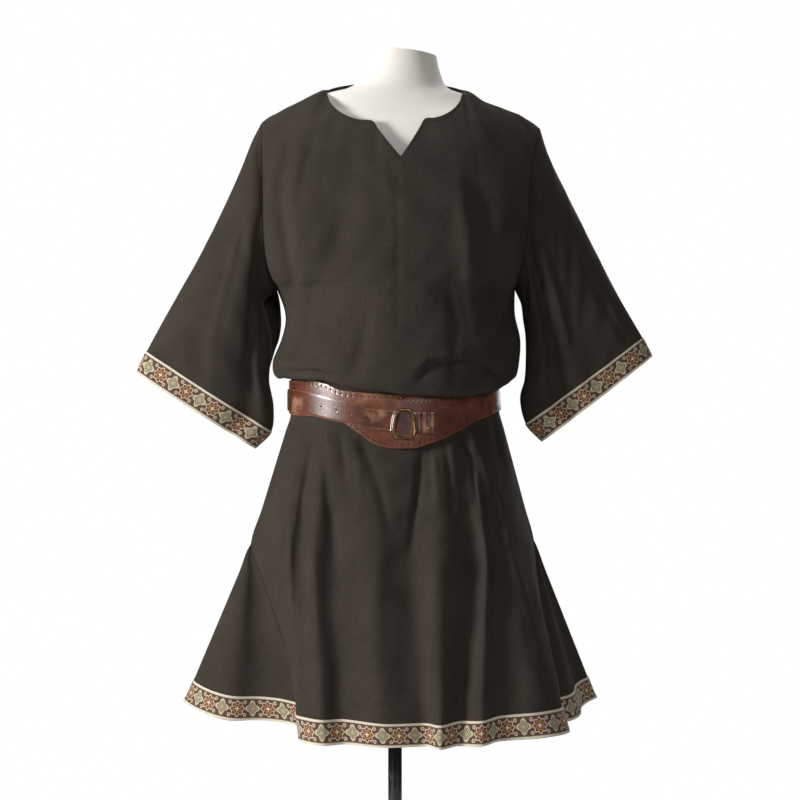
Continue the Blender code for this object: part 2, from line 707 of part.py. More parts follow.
def share_normals(*members):
    """Gives points that meet at a seam one normal. Each member is an array and its index."""
    total = sum(array[index] for array, index in members)
    total = total / np.linalg.norm(total)
    for array, index in members:
        array[index] = total


def wall_mesh(name, outer, inner, closed=False):
    """A closed wall between two grids of points, with a rim along its free edges."""
    rows, columns = outer.shape[0] - 1, outer.shape[1] - (0 if closed else 1)
    mesh_data = bmesh.new()
    layers = []
    for points, flip in ((outer, False), (inner, True)):
        sheet = bmesh.ops.create_grid(mesh_data, x_segments=columns, y_segments=rows, size=1.0)
        places = {}
        for vertex in sheet["verts"]:
            column = round((vertex.co.x + 1.0) / 2 * columns)
            row = round((vertex.co.y + 1.0) / 2 * rows)
            places[row, column] = vertex
            vertex.co = points[row, column % len(points[0]) if closed else column]
        if flip:
            faces = {face for vertex in sheet["verts"] for face in vertex.link_faces}
            bmesh.ops.reverse_faces(mesh_data, faces=list(faces))
        layers.append(places)
    top, under = layers
    border = [((0, n), (0, n + 1)) for n in range(columns)]
    border += [((rows, n + 1), (rows, n)) for n in range(columns)]
    if not closed:
        border += [((n, columns), (n + 1, columns)) for n in range(rows)]
        border += [((n + 1, 0), (n, 0)) for n in range(rows)]
    # A twisted rim turns about the diagonal from its lower outer corner, on both sides of a seam.
    for first, second in border:
        if top[first].co.z <= top[second].co.z:
            mesh_data.faces.new((top[second], top[first], under[second]))
            mesh_data.faces.new((top[first], under[first], under[second]))
        else:
            mesh_data.faces.new((top[second], top[first], under[first]))
            mesh_data.faces.new((top[second], under[first], under[second]))
    if closed:
        bmesh.ops.remove_doubles(mesh_data, verts=list(mesh_data.verts), dist=1e-7)
    for face in mesh_data.faces:
        face.smooth = True
    mesh = bpy.data.meshes.new(name)
    mesh_data.to_mesh(mesh)
    mesh_data.free()
    mesh.set_sharp_from_angle(angle=math.radians(50))
    return mesh


def pulled_back(grid, edges, distance):
    """The grid with its seam edges moved back, square to the seam."""
    result = grid.copy()
    pairs = {
        "first column": (np.s_[:, 0], np.s_[:, 1]),
        "last column": (np.s_[:, -1], np.s_[:, -2]),
        "first row": (np.s_[0], np.s_[1]),
        "last row": (np.s_[-1], np.s_[-2]),
    }
    for edge in edges:
        border, inner = pairs[edge]
        along = np.gradient(grid[border], axis=0)
        along = along / np.linalg.norm(along, axis=-1, keepdims=True)
        step = grid[inner] - grid[border]
        step = step - along * (step * along).sum(axis=-1, keepdims=True)
        length = np.linalg.norm(step, axis=-1, keepdims=True)
        result[border] = result[border] + distance * step / length
    return result


def unit(vector):
    return vector / np.linalg.norm(vector)


def share_all_seams(grids, normals):
    """Makes the normals equal along every seam of the garment."""
    belt_row = len(SKIRT_SHARES)
    armpit = belt_row + len(BODY_ROWS) - 1
    apex = SKIRT_SHARES.index(APEX_SHARE)
    total = grids["front"].shape[0]
    for front_column, back_column in ((0, -1), (-1, 0)):
        for row in range(apex + 1, armpit):
            share_normals(
                (normals["front"], (row, front_column)), (normals["back"], (row, back_column))
            )
    for row in range(apex + 1):
        share_normals((normals["front"], (row, -1)), (normals["gore_right"], (row, 0)))
        share_normals((normals["gore_right"], (row, -1)), (normals["back"], (row, 0)))
        share_normals((normals["back"], (row, -1)), (normals["gore_left"], (row, 0)))
        share_normals((normals["gore_left"], (row, -1)), (normals["front"], (row, 0)))
    for name in ("front", "back"):
        for column in range(grids[name].shape[1]):
            if abs(grids[name][-1, column, 1]) < 1e-6:
                normals[name][-1, column] = unit(normals[name][-1, column] * (1.0, 0.0, 1.0))
    for side, front_column, back_column in (("left", 0, -1), ("right", -1, 0)):
        ring = normals["sleeve_" + side]
        half = ring.shape[1] // 2
        share_normals(
            (normals["front"], (armpit, front_column)),
            (normals["back"], (armpit, back_column)),
            (ring, (0, 0)),
        )
        share_normals(
            (normals["front"], (total - 1, front_column)),
            (normals["back"], (total - 1, back_column)),
            (ring, (0, half)),
        )
        for step in range(1, half):
            up, down = ("front", "back") if side == "left" else ("back", "front")
            up_column = front_column if up == "front" else back_column
            down_column = front_column if down == "front" else back_column
            share_normals((normals[up], (armpit + step, up_column)), (ring, (0, step)))
            share_normals((normals[down], (armpit + step, down_column)), (ring, (0, -step)))


def garment_grids():
    """Every cloth piece's outer points, meeting exactly at the seams."""
    front = body_panel("front")
    back = body_panel("back")
    armpit = len(SKIRT_SHARES) + len(BODY_ROWS) - 1
    left_loop = armhole_loop(front[armpit:, 0], back[armpit:, -1], -1)
    right_loop = armhole_loop(front[armpit:, -1], back[armpit:, 0], 1)
    return {
        "front": front,
        "back": back,
        "gore_right": gore(RIGHT_GORE, front[:, -1], back[:, 0]),
        "gore_left": gore(LEFT_GORE, back[:, -1], front[:, 0]),
        "sleeve_left": sleeve("left", LEFT_SLEEVE, left_loop),
        "sleeve_right": sleeve("right", RIGHT_SLEEVE, right_loop),
    }


SEAM_EDGES = {
    "front": ("first column", "last column", "last row"),
    "back": ("first column", "last column", "last row"),
    "gore_right": ("first column", "last column", "last row"),
    "gore_left": ("first column", "last column", "last row"),
    "sleeve_left": ("first row",),
    "sleeve_right": ("first row",),
}

# The braids: the piece that each lies on, and whether it is at the first rows or the last
BRAIDS = {
    "hem_braid_front": ("front", "first"),
    "hem_braid_back": ("back", "first"),
    "hem_braid_right": ("gore_right", "first"),
    "hem_braid_left": ("gore_left", "first"),
    "cuff_braid_left": ("sleeve_left", "last"),
    "cuff_braid_right": ("sleeve_right", "last"),
}


def add_garment(collection):
    grids = garment_grids()
    normals = {
        name: normals_of(grid, closed=name.startswith("sleeve")) for name, grid in grids.items()
    }
    share_all_seams(grids, normals)
    outers = {}
    for name, grid in grids.items():
        distance = SEAM_BODY if name in ("front", "back") else SEAM_JOINED
        outers[name] = pulled_back(grid, SEAM_EDGES[name], distance)
    for name, outer in outers.items():
        closed = name.startswith("sleeve")
        mesh = wall_mesh(name, outer, outer - CLOTH * normals[name], closed)
        add_object(collection, name, mesh, "cloth")
    for name, (panel, end) in BRAIDS.items():
        rows = slice(0, 2) if end == "first" else slice(-2, None)
        closed = panel.startswith("sleeve")
        under = outers[panel][rows] + REST_GAP * normals[panel][rows]
        over = under + BRAID * normals[panel][rows]
        add_object(collection, name, wall_mesh(name, over, under, closed), "braid")


def lap_off(angle):
    """How far the band stands off the cloth: its outer end laps over its inner one."""
    return BELT_GAP + LAP_OFFSET * (
        1.0 - smooth((angle - LAP_EASE_FROM) / (LAP_EASE_TO - LAP_EASE_FROM))
    )


def add_band(collection):
    """The shaped band, one strip round the waist from its outer end to its inner one."""
    end = 360.0 + INNER_END
    down = np.linspace(0.0, 1.0, BAND_ROWS + 1)
    top_cut = END_ROUND_TOP * np.maximum(1.0 - down / END_ROUND_TOP_SHARE, 0.0) ** 2
    low_cut = END_ROUND_LOW * np.maximum(1.0 - (1.0 - down) / END_ROUND_LOW_SHARE, 0.0) ** 2
    cut = np.degrees((top_cut + low_cut) / WAIST_HALF_WIDTH)
    across = np.linspace(0.0, 1.0, BAND_COLUMNS + 1)
    inner = np.zeros((BAND_ROWS + 1, BAND_COLUMNS + 1, 3))
    outer = np.zeros_like(inner)
    for row in range(BAND_ROWS + 1):
        angle = OUTER_END + (end - OUTER_END) * across
        angle = angle + cut[row] * (1.0 - smooth(across / END_SHARE))
        wrapped = np.where(angle > 180.0, angle - 360.0, angle)
        off = np.where(angle < 180.0, lap_off(angle), BELT_GAP)
        height = belt_edge(wrapped, BELT_TOP)
        height = height + (belt_edge(wrapped, BELT_LOW) - height) * down[row]
        for grid, extra in ((inner, 0.0), (outer, LEATHER)):
            x, y = waist_point(wrapped, off + extra)
            grid[BAND_ROWS - row] = np.stack([x, y, height], axis=1)
    add_object(collection, "belt_band", wall_mesh("belt_band", outer, inner), "leather")


def tongue_path():
    """The strap's mid line seen from above: x, y, height and width share of each column."""
    off = BELT_GAP + LEATHER + REST_GAP + STRAP / 2
    bar = ring_point(math.pi)
    curl = WIRE_RADIUS + CURL_GAP + STRAP / 2
    angles = np.linspace(TONGUE_TIP, TONGUE_FLAT_END, TONGUE_COLUMNS + 1)
    points = []
    for angle in angles:
        x, y = waist_point(angle, off)
        points.append((float(x), float(y)))
    turns = np.radians(np.linspace(*CURL_TURN, CURL_COLUMNS + 1))
    for turn in turns:
        points.append((bar[0] + curl * math.sin(turn), bar[1] - curl * math.cos(turn)))
    return np.array(points)


def add_tongue(collection):
    """The strap: a point at its tip, and its other end curled round the ring's bar."""
    path = tongue_path()
    along = np.gradient(path, axis=0)
    side = np.stack([along[:, 1], -along[:, 0]], axis=1)
    side = side / np.linalg.norm(side, axis=1, keepdims=True)
    place = np.degrees(np.arcsin(np.clip(path[:, 0] / WAIST_HALF_WIDTH, -1.0, 1.0)))
    middle = curve_through(column_of(TONGUE_LINE, 0), column_of(TONGUE_LINE, 1), place)
    length = np.concatenate([[0.0], np.cumsum(np.linalg.norm(np.diff(path, axis=0), axis=1))])
    blunt = np.sqrt(1.0 - (1.0 - np.clip(length / TONGUE_POINT, 0.0, 1.0)) ** 2)
    half = TONGUE_HALF * np.maximum(blunt, TONGUE_BLUNT)
    narrow = smooth((place - TONGUE_NARROW[0]) / TONGUE_NARROW[1])
    half = half - (TONGUE_HALF - TONGUE_END_HALF) * narrow
    held = smooth((place - TONGUE_LEAN[0]) / TONGUE_LEAN[1])
    grids = []
    for step in (STRAP / 2, -STRAP / 2):
        rows = []
        for share in (-1.0, -0.5, 0.0, 0.5, 1.0):
            z = middle + half * share
            lean = np.array([bar_x(height) for height in z]) - bar_x(RING_CENTRE[1])
            x = path[:, 0] + step * side[:, 0] + lean * held
            rows.append(np.stack([x, path[:, 1] + step * side[:, 1], z], axis=1))
        grids.append(np.array(rows))
    add_object(collection, "belt_tongue", wall_mesh("belt_tongue", *grids), "leather")


def bar_x(height):
    """x of the ring's left bar at a height."""
    share = (height - RING_CENTRE[1]) / RING_HALF_HEIGHT
    share = math.copysign(min(abs(share), 0.95) ** (1.0 / RING_ROUND_Z), share)
    reach = (1.0 - share**2) ** (RING_ROUND_X / 2)
    return RING_CENTRE[0] - (RING_HALF_WIDTH - RING_TAPER * share) * reach


def ring_point(turn):
    """A point of the ring's wire. The ring leans back from its left bar to its right one."""
    cosine = math.cos(turn)
    sine = math.sin(turn)
    half = RING_HALF_WIDTH - RING_TAPER * sine
    x = RING_CENTRE[0] + half * math.copysign(abs(cosine) ** RING_ROUND_X, cosine)
    z = RING_CENTRE[1] + RING_HALF_HEIGHT * math.copysign(abs(sine) ** RING_ROUND_Z, sine)
    left_x = RING_CENTRE[0] - RING_HALF_WIDTH
    right_x = RING_CENTRE[0] + RING_HALF_WIDTH
    left_y = float(waist_y_at(left_x, RING_OFF_LEFT))
    right_y = float(waist_y_at(right_x, RING_OFF_RIGHT))
    y = left_y + (right_y - left_y) * (x - left_x) / (right_x - left_x)
    return x, y, z


def waist_y_at(x, off):
    """y on the front of the waist at x, moved out."""
    angle = np.degrees(np.arcsin(np.clip(x / (WAIST_HALF_WIDTH + off), -1.0, 1.0)))
    return waist_point(angle, off)[1]


def add_ring(collection):
    """The ring, a closed wire."""
    curve = bpy.data.curves.new("belt_ring", "CURVE")
    curve.dimensions = "3D"
    curve.bevel_depth = WIRE_RADIUS
    curve.bevel_resolution = 2
    spline = curve.splines.new("POLY")
    spline.points.add(RING_POINTS - 1)
    for number, point in enumerate(spline.points):
        point.co = (*ring_point(2.0 * math.pi * number / RING_POINTS), 1.0)
    spline.use_cyclic_u = True
    curve.materials.append(finish_of("belt_ring", "brass"))
    collection.objects.link(bpy.data.objects.new("belt_ring", curve))


def add_tab(collection):
    """The tab that holds the ring: a back layer behind the bar and a full stretch beside it."""
    seat = BELT_GAP + LAP_OFFSET + LEATHER + REST_GAP
    places = np.array(TAB_STATIONS)
    thick = np.where(places < TAB_STEP, TAB_BACK_LAYER, TAB_FULL)
    heights = np.linspace(TAB_LOW, TAB_HIGH, 3)
    grids = []
    for extra in (thick, np.zeros_like(thick)):
        y = np.array([float(waist_y_at(x, seat + e)) for x, e in zip(places, extra)])
        grids.append(
            np.array([np.stack([places, y, np.full_like(y, h)], axis=1) for h in heights])
        )
    add_object(collection, "belt_tab", wall_mesh("belt_tab", *grids), "leather")
    return seat + TAB_FULL


def add_rivet(collection, seat):
    """A low dome on the tab."""
    x, z = RIVET_PLACE
    y = float(waist_y_at(x, seat + REST_GAP))
    data = bmesh.new()
    bmesh.ops.create_cone(
        data,
        cap_ends=True,
        segments=RIVET_SIDES,
        radius1=RIVET_RADIUS,
        radius2=RIVET_RADIUS * RIVET_TOP_SHARE,
        depth=RIVET_HEIGHT,
    )
    mesh = bpy.data.meshes.new("belt_rivet")
    data.to_mesh(mesh)
    data.free()
    piece = add_object(collection, "belt_rivet", mesh, "brass")
    piece.rotation_euler = (math.pi / 2, 0.0, math.atan2(x, -y))
    piece.location = (x, y - RIVET_HEIGHT / 2 - REST_GAP, z)


def add_form(collection):
    """The torso and neck, one closed body: a ball whose rings take the form's sections."""
    count = len(FORM_SECTIONS)
    data = bmesh.new()
    ball = bmesh.ops.create_uvsphere(
        data, u_segments=FORM_COLUMNS, v_segments=count + 1, radius=1.0
    )
    low, high = FORM_SECTIONS[0], FORM_SECTIONS[-1]
    for vertex in ball["verts"]:
        level = math.acos(max(-1.0, min(1.0, -vertex.co.z))) / math.pi * (count + 1)
        ring = round(level) - 1
        if ring < 0:
            vertex.co = (0.0, 0.0, low[0])
            continue
        if ring >= count:
            middle = (high[2] - high[1]) / 2
            vertex.co = (middle, 0.0, high[0])
            continue
        turn = math.atan2(vertex.co.y, vertex.co.x)
        z, left, right, front, back = FORM_SECTIONS[ring]
        middle = (right - left) / 2
        half = (right + left) / 2
        depth = front if math.sin(turn) < 0 else back
        x = middle + half * math.cos(turn)
        if ring == count - 1:
            z -= FORM_TOP_TILT * math.cos(turn)
        vertex.co = (x, depth * math.sin(turn), z)
    for face in data.faces:
        face.smooth = True
    bmesh.ops.recalc_face_normals(data, faces=list(data.faces))
    mesh = bpy.data.meshes.new("form_torso")
    data.to_mesh(mesh)
    data.free()
    mesh.set_sharp_from_angle(angle=math.radians(40))
    add_object(collection, "form_torso", mesh, "form")


def add_turned(collection, name, profile, kind):
    """A turned piece from its profile, which runs down the outer side from the top."""
    data = bmesh.new()
    vertices = [data.verts.new((radius, 0.0, z)) for radius, z in profile]
    for first, second in zip(vertices, vertices[1:]):
        data.edges.new((first, second))
    mesh = bpy.data.meshes.new(name)
    data.to_mesh(mesh)
    data.free()
    piece = add_object(collection, name, mesh, kind)
    screw = piece.modifiers.new("turn", "SCREW")
    screw.steps = screw.render_steps = TURN_STEPS
    screw.use_merge_vertices = True
    screw.merge_threshold = 0.00001
    screw.use_smooth_shade = True


def add_stand(collection):
    collar_top = BASE_THICK + COLLAR_HEIGHT
    base = (
        (0.0, collar_top),
        (COLLAR_RADIUS - COLLAR_EDGE, collar_top),
        (COLLAR_RADIUS, collar_top - COLLAR_EDGE),
        (COLLAR_RADIUS, BASE_THICK + COLLAR_FILLET),
        (COLLAR_RADIUS + COLLAR_FILLET, BASE_THICK),
        (BASE_RADIUS - BASE_EDGE, BASE_THICK - BASE_FALL),
        (BASE_RADIUS - BASE_FALL, BASE_THICK - BASE_EDGE),
        (BASE_RADIUS, BASE_EDGE),
        (BASE_RADIUS - BASE_FALL, 0.0),
        (0.0, 0.0),
    )
    add_turned(collection, "stand_base", base, "metal")
    pole_low = collar_top + REST_GAP
    pole_high = FORM_SECTIONS[0][0] - REST_GAP
    pole = (
        (0.0, pole_high),
        (POLE_RADIUS, pole_high),
        (POLE_RADIUS, pole_low),
        (0.0, pole_low),
    )
    add_turned(collection, "stand_pole", pole, "metal")


def main():
    clear_scene()
    collection = new_collection(COLLECTION)
    add_garment(collection)
    add_band(collection)
    add_tongue(collection)
    add_ring(collection)
    seat = add_tab(collection)
    add_rivet(collection, seat)
    add_form(collection)
    add_stand(collection)


main()
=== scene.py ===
"""The looks of a belted wool tunic on a dress form and stand.

Metres, +Z up, the front faces -Y and +X is the viewer's right. Each panel is a grid of outer
points: rows run up from the hem and columns run round the body. The grids come from the same
tables as the solids, are made finer, and take their small creases, walls and finishes here.
"""

import math

import bmesh
import bpy
import numpy as np
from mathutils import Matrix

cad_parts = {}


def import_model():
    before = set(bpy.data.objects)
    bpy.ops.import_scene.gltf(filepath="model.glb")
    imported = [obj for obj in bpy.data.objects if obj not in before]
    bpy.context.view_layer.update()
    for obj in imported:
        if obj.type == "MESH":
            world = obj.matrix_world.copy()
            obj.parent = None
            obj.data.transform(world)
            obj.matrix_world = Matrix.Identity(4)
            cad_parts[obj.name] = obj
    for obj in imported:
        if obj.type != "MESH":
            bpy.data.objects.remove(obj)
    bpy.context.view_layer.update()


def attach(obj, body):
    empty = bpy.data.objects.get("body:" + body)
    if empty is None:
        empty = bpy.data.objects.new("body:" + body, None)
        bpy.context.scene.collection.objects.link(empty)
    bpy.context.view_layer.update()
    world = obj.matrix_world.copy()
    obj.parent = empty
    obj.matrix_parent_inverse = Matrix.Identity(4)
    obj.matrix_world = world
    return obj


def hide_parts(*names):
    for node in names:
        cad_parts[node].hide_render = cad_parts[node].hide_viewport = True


# Thicknesses and clearances
CLOTH = 0.0016
BRAID = 0.0010
SEWN_GAP = 0.00004
REST_GAP = 0.0003
BELT_GAP = 0.0005
LEATHER = 0.0030
STRAP = 0.0025

# The waist under the belt, an ellipse
WAIST_HALF_WIDTH = 0.166
WAIST_DEPTH = 0.120
BELT_COVER = -0.001

# The share of the skirt's height where the gores begin, and their width there
APEX_SHARE = 0.57
APEX_HALF = 0.0003

# Shares of the skirt's height where the grid has its rows. The first above the hem ends the braid.
SKIRT_SHARES = (0.0, 0.076, 0.16, 0.26, 0.36, 0.47, APEX_SHARE, 0.68, 0.78, 0.87, 0.94, 1.0)

# name, angle at the belt, x and y at the gores' tips, x, y and z at the hem
FRONT_FOLDS = (
    ("left seam", -90, -0.230, -0.0015, -0.124, -0.100, 0.436),
    ("left turn", -74, -0.200, -0.048, -0.143, -0.132, 0.435),
    ("left edge", -56, -0.163, -0.125, -0.147, -0.172, 0.433),
    ("small valley", -47, -0.146, -0.128, -0.130, -0.196, 0.431),
    ("narrow crest", -39, -0.124, -0.148, -0.106, -0.212, 0.430),
    ("left valley", -29, -0.098, -0.141, -0.074, -0.198, 0.430),
    ("broad crest", -9, -0.030, -0.172, -0.014, -0.224, 0.429),
    ("middle valley", 14, 0.026, -0.158, 0.046, -0.211, 0.429),
    ("middle crest", 25, 0.070, -0.174, 0.068, -0.238, 0.428),
    ("right valley", 38, 0.122, -0.141, 0.094, -0.215, 0.430),
    ("slim crest", 44, 0.141, -0.150, 0.128, -0.232, 0.432),
    ("slim valley", 49, 0.152, -0.130, 0.160, -0.205, 0.436),
    ("right crest", 59, 0.180, -0.120, 0.215, -0.205, 0.440),
    ("right edge", 74, 0.207, -0.070, 0.266, -0.165, 0.444),
    ("right seam", 90, 0.222, -0.0015, 0.246, -0.100, 0.446),
)

# The same columns for the back, from its right seam to its left one, with the angle from the back
BACK_FOLDS = (
    ("right seam", -90, 0.222, 0.0015, 0.172, 0.118, 0.452),
    ("right edge", -70, 0.188, 0.082, 0.184, 0.166, 0.447),
    ("right crest", -54, 0.160, 0.120, 0.150, 0.200, 0.441),
    ("right valley", -40, 0.122, 0.126, 0.112, 0.184, 0.438),
    ("inner crest", -24, 0.078, 0.152, 0.078, 0.218, 0.436),
    ("middle valley", -6, 0.022, 0.144, 0.018, 0.196, 0.436),
    ("broad crest", 12, -0.038, 0.162, -0.040, 0.224, 0.435),
    ("left valley", 32, -0.098, 0.134, -0.092, 0.188, 0.437),
    ("left crest", 48, -0.146, 0.128, -0.140, 0.204, 0.441),
    ("left edge", 68, -0.194, 0.078, -0.182, 0.168, 0.447),
    ("left seam", 90, -0.230, 0.0015, -0.184, 0.122, 0.452),
)

# name, share across the gore from its first seam, x, y and z at the hem
RIGHT_GORE = (
    ("front seam", 0.0, 0.246, -0.100, 0.446),
    ("front crest", 0.16, 0.288, -0.072, 0.452),
    ("front valley", 0.32, 0.296, -0.030, 0.464),
    ("corner", 0.52, 0.324, 0.012, 0.473),
    ("back valley", 0.68, 0.288, 0.052, 0.466),
    ("back crest", 0.84, 0.246, 0.100, 0.458),
    ("back seam", 1.0, 0.172, 0.118, 0.452),
)
LEFT_GORE = (
    ("back seam", 0.0, -0.184, 0.122, 0.452),
    ("back crest", 0.18, -0.246, 0.110, 0.458),
    ("back valley", 0.34, -0.282, 0.046, 0.466),
    ("corner", 0.50, -0.338, 0.004, 0.470),
    ("front crest", 0.68, -0.268, -0.070, 0.448),
    ("front valley", 0.84, -0.200, -0.052, 0.445),
    ("inner crest", 0.93, -0.156, -0.070, 0.441),
    ("front seam", 1.0, -0.124, -0.100, 0.436),
)

# Gathers that start under the belt: panel, angle, half width in degrees, rise, and reach down as
# a share
GATHERS = (
    ("front", -66, 5.0, 0.006, 0.30),
    ("front", -21, 4.5, 0.005, 0.22),
    ("front", -14, 3.5, -0.005, 0.18),
    ("front", 4, 4.5, 0.004, 0.16),
    ("front", 20, 3.5, -0.006, 0.24),
    ("front", 31, 4.0, 0.006, 0.26),
    ("front", 68, 5.0, -0.006, 0.30),
    ("back", -62, 5.0, -0.006, 0.28),
    ("back", -32, 4.5, 0.006, 0.24),
    ("back", -15, 4.0, -0.005, 0.20),
    ("back", 3, 4.5, 0.006, 0.24),
    ("back", 22, 4.0, -0.005, 0.20),
    ("back", 40, 4.5, 0.006, 0.26),
    ("back", 58, 5.0, -0.005, 0.22),
)

# The belt's edges and the blouse over it: angle from the front, belt top, belt bottom, and the
# blouse's lip
BELT_EDGES = (
    (-180, 0.985, 0.945, 0.990),
    (-120, 0.985, 0.943, 0.990),
    (-90, 0.981, 0.930, 0.985),
    (-68, 0.980, 0.926, 0.983),
    (-50, 0.980, 0.925, 0.981),
    (-40, 0.9755, 0.9236, 0.980),
    (-30, 0.9655, 0.917, 0.975),
    (-19, 0.9615, 0.898, 0.968),
    (-10, 0.9595, 0.8815, 0.963),
    (0, 0.9580, 0.8755, 0.959),
    (9, 0.9575, 0.8755, 0.956),
    (18, 0.9575, 0.882, 0.955),
    (27, 0.958, 0.8915, 0.955),
    (38, 0.959, 0.905, 0.9565),
    (49, 0.962, 0.917, 0.960),
    (65, 0.968, 0.927, 0.970),
    (79, 0.973, 0.933, 0.979),
    (90, 0.977, 0.936, 0.983),
    (120, 0.983, 0.943, 0.988),
    (180, 0.985, 0.945, 0.990),
)
FLOOR_LINE, BELT_TOP, BELT_LOW, BLOUSE_LIP = 0, 1, 2, 3

# Rows of the body over the belt: the line that heights are counted from, heights at the front,
# left, right and back, half widths at the left and right, depths at the front and back
BODY_ROWS = (
    ("belt top", BELT_TOP, 0.003, 0.003, 0.003, 0.003, 0.166, 0.166, 0.1202, 0.1202),
    ("tuck", BELT_TOP, 0.013, 0.010, 0.010, 0.011, 0.174, 0.174, 0.131, 0.128),
    ("droop", BLOUSE_LIP, 0.000, 0.000, 0.000, 0.000, 0.186, 0.186, 0.145, 0.139),
    ("lip", BLOUSE_LIP, 0.010, 0.006, 0.007, 0.007, 0.1935, 0.194, 0.155, 0.148),
    ("blouse", FLOOR_LINE, 0.998, 1.010, 1.009, 1.016, 0.1950, 0.1985, 0.159, 0.152),
    ("full", FLOOR_LINE, 1.040, 1.045, 1.045, 1.050, 0.1820, 0.2005, 0.158, 0.151),
    ("rib", FLOOR_LINE, 1.082, 1.084, 1.084, 1.086, 0.1745, 0.1920, 0.152, 0.148),
    ("armpit", FLOOR_LINE, 1.125, 1.125, 1.125, 1.125, 0.1880, 0.1920, 0.148, 0.146),
)

# Rows beside the armhole: height, half widths left and right, armhole depth, depths front and back
CHEST_ROWS = (
    (1.136, 0.1925, 0.1935, 0.024, 0.148, 0.146),
    (1.158, 0.201, 0.197, 0.046, 0.147, 0.145),
    (1.190, 0.205, 0.203, 0.061, 0.146, 0.145),
    (1.225, 0.207, 0.209, 0.066, 0.145, 0.145),
)
ARCH_ROWS = 8

# The shoulder ridge: x, z. Between the neck points it is where the neck hole is cut
RIDGE = (
    (-0.213, 1.394),
    (-0.206, 1.400),
    (-0.180, 1.413),
    (-0.152, 1.428),
    (-0.110, 1.446),
    (0.000, 1.452),
    (0.109, 1.446),
    (0.138, 1.430),
    (0.190, 1.409),
    (0.218, 1.395),
    (0.232, 1.384),
)
NECK_LEFT = -0.110
NECK_RIGHT = 0.109
NECK_POINT_Z = 1.446
SLIT_LEFT = (-0.0355, 1.385)
SLIT_TIP = (0.0095, 1.327)
SLIT_RIGHT = (0.0468, 1.388)
SLIT_CURVE = 1.12
TIP_LEFT = -0.213
TIP_RIGHT = 0.232
NAPE_RISE = 0.022
NAPE_ARCH = 0.054

# Columns of the front, counted from the left: left shoulder, neck, slit, neck, right shoulder
FRONT_COLUMNS = 42
FRONT_NECK_COLUMNS = (9, 15, 20, 25, 31)
BACK_COLUMNS = 30
BACK_NECK_COLUMNS = (9, 22)
GORE_COLUMNS = 10

# Soft folds of the chest and back: panel, three points as x and z, half width, rise
CHEST_FOLDS = (
    ("front", (-0.172, 1.345), (-0.186, 1.270), (-0.160, 1.120), 0.014, -0.007),
    ("front", (-0.150, 1.340), (-0.166, 1.270), (-0.138, 1.100), 0.016, 0.004),
    ("front", (-0.078, 1.310), (-0.090, 1.180), (-0.148, 1.045), 0.022, -0.007),
    ("front", (0.094, 1.310), (0.114, 1.200), (0.130, 1.020), 0.014, 0.007),
    ("front", (0.122, 1.300), (0.140, 1.200), (0.156, 1.060), 0.018, -0.009),
    ("front", (0.206, 1.230), (0.180, 1.130), (0.136, 1.050), 0.012, 0.007),
    ("front", (0.030, 1.010), (0.055, 1.000), (0.120, 1.010), 0.012, -0.006),
    ("back", (0.170, 1.300), (0.150, 1.180), (0.150, 1.040), 0.018, -0.008),
    ("back", (0.090, 1.340), (0.100, 1.180), (0.080, 1.030), 0.020, 0.006),
    ("back", (-0.020, 1.250), (-0.010, 1.120), (0.000, 1.010), 0.022, -0.006),
    ("back", (-0.100, 1.320), (-0.110, 1.170), (-0.090, 1.030), 0.020, 0.006),
    ("back", (-0.175, 1.300), (-0.160, 1.170), (-0.150, 1.040), 0.018, -0.008),
)

# Sleeve sections: top x and z, lowest x and z, half depth, how far the back's underside is tucked
LEFT_SLEEVE = (
    (-0.213, 1.394, -0.188, 1.125, 0.066, 0.000),
    (-0.227, 1.366, -0.210, 1.106, 0.069, 0.000),
    (-0.246, 1.318, -0.214, 1.082, 0.070, 0.028),
    (-0.276, 1.252, -0.209, 1.050, 0.066, 0.034),
    (-0.311, 1.182, -0.2055, 1.015, 0.060, 0.022),
    (-0.346, 1.120, -0.2035, 0.980, 0.053, 0.008),
    (-0.3787, 1.062, -0.194, 0.938, 0.046, 0.000),
    (-0.397, 1.028, -0.1976, 0.9004, 0.041, 0.000),
    (-0.413, 0.994, -0.2235, 0.873, 0.038, 0.000),
)
RIGHT_SLEEVE = (
    (0.232, 1.384, 0.192, 1.125, 0.066, 0.000),
    (0.2454, 1.340, 0.202, 1.102, 0.069, 0.000),
    (0.2620, 1.304, 0.205, 1.078, 0.070, 0.000),
    (0.2890, 1.250, 0.2085, 1.052, 0.066, 0.000),
    (0.3230, 1.182, 0.2090, 1.016, 0.060, 0.000),
    (0.3560, 1.118, 0.2070, 0.982, 0.053, 0.000),
    (0.3820, 1.073, 0.2000, 0.950, 0.046, 0.000),
    (0.3957, 1.050, 0.2090, 0.9126, 0.041, 0.000),
    (0.4110, 1.020, 0.2350, 0.884, 0.038, 0.000),
)
TUCK_PLACE = -0.65
TUCK_WIDTH = 0.45
TUCK_EASE = 0.15
TUCK_LOW = 0.55
SLEEVE_SQUARENESS = 0.85

# Folds along the sleeves: sleeve, side, place from -1 under to 1 on top, half width, rise
SLEEVE_FOLDS = (
    ("left", "front", -0.62, 0.16, -0.008),
    ("left", "front", -0.10, 0.22, 0.004),
    ("left", "back", -0.20, 0.20, -0.007),
    ("left", "back", 0.35, 0.20, 0.005),
    ("right", "front", -0.66, 0.13, 0.006),
    ("right", "front", -0.40, 0.13, -0.009),
    ("right", "front", -0.12, 0.15, 0.006),
    ("right", "back", -0.30, 0.20, -0.007),
    ("right", "back", 0.25, 0.20, 0.005),
)

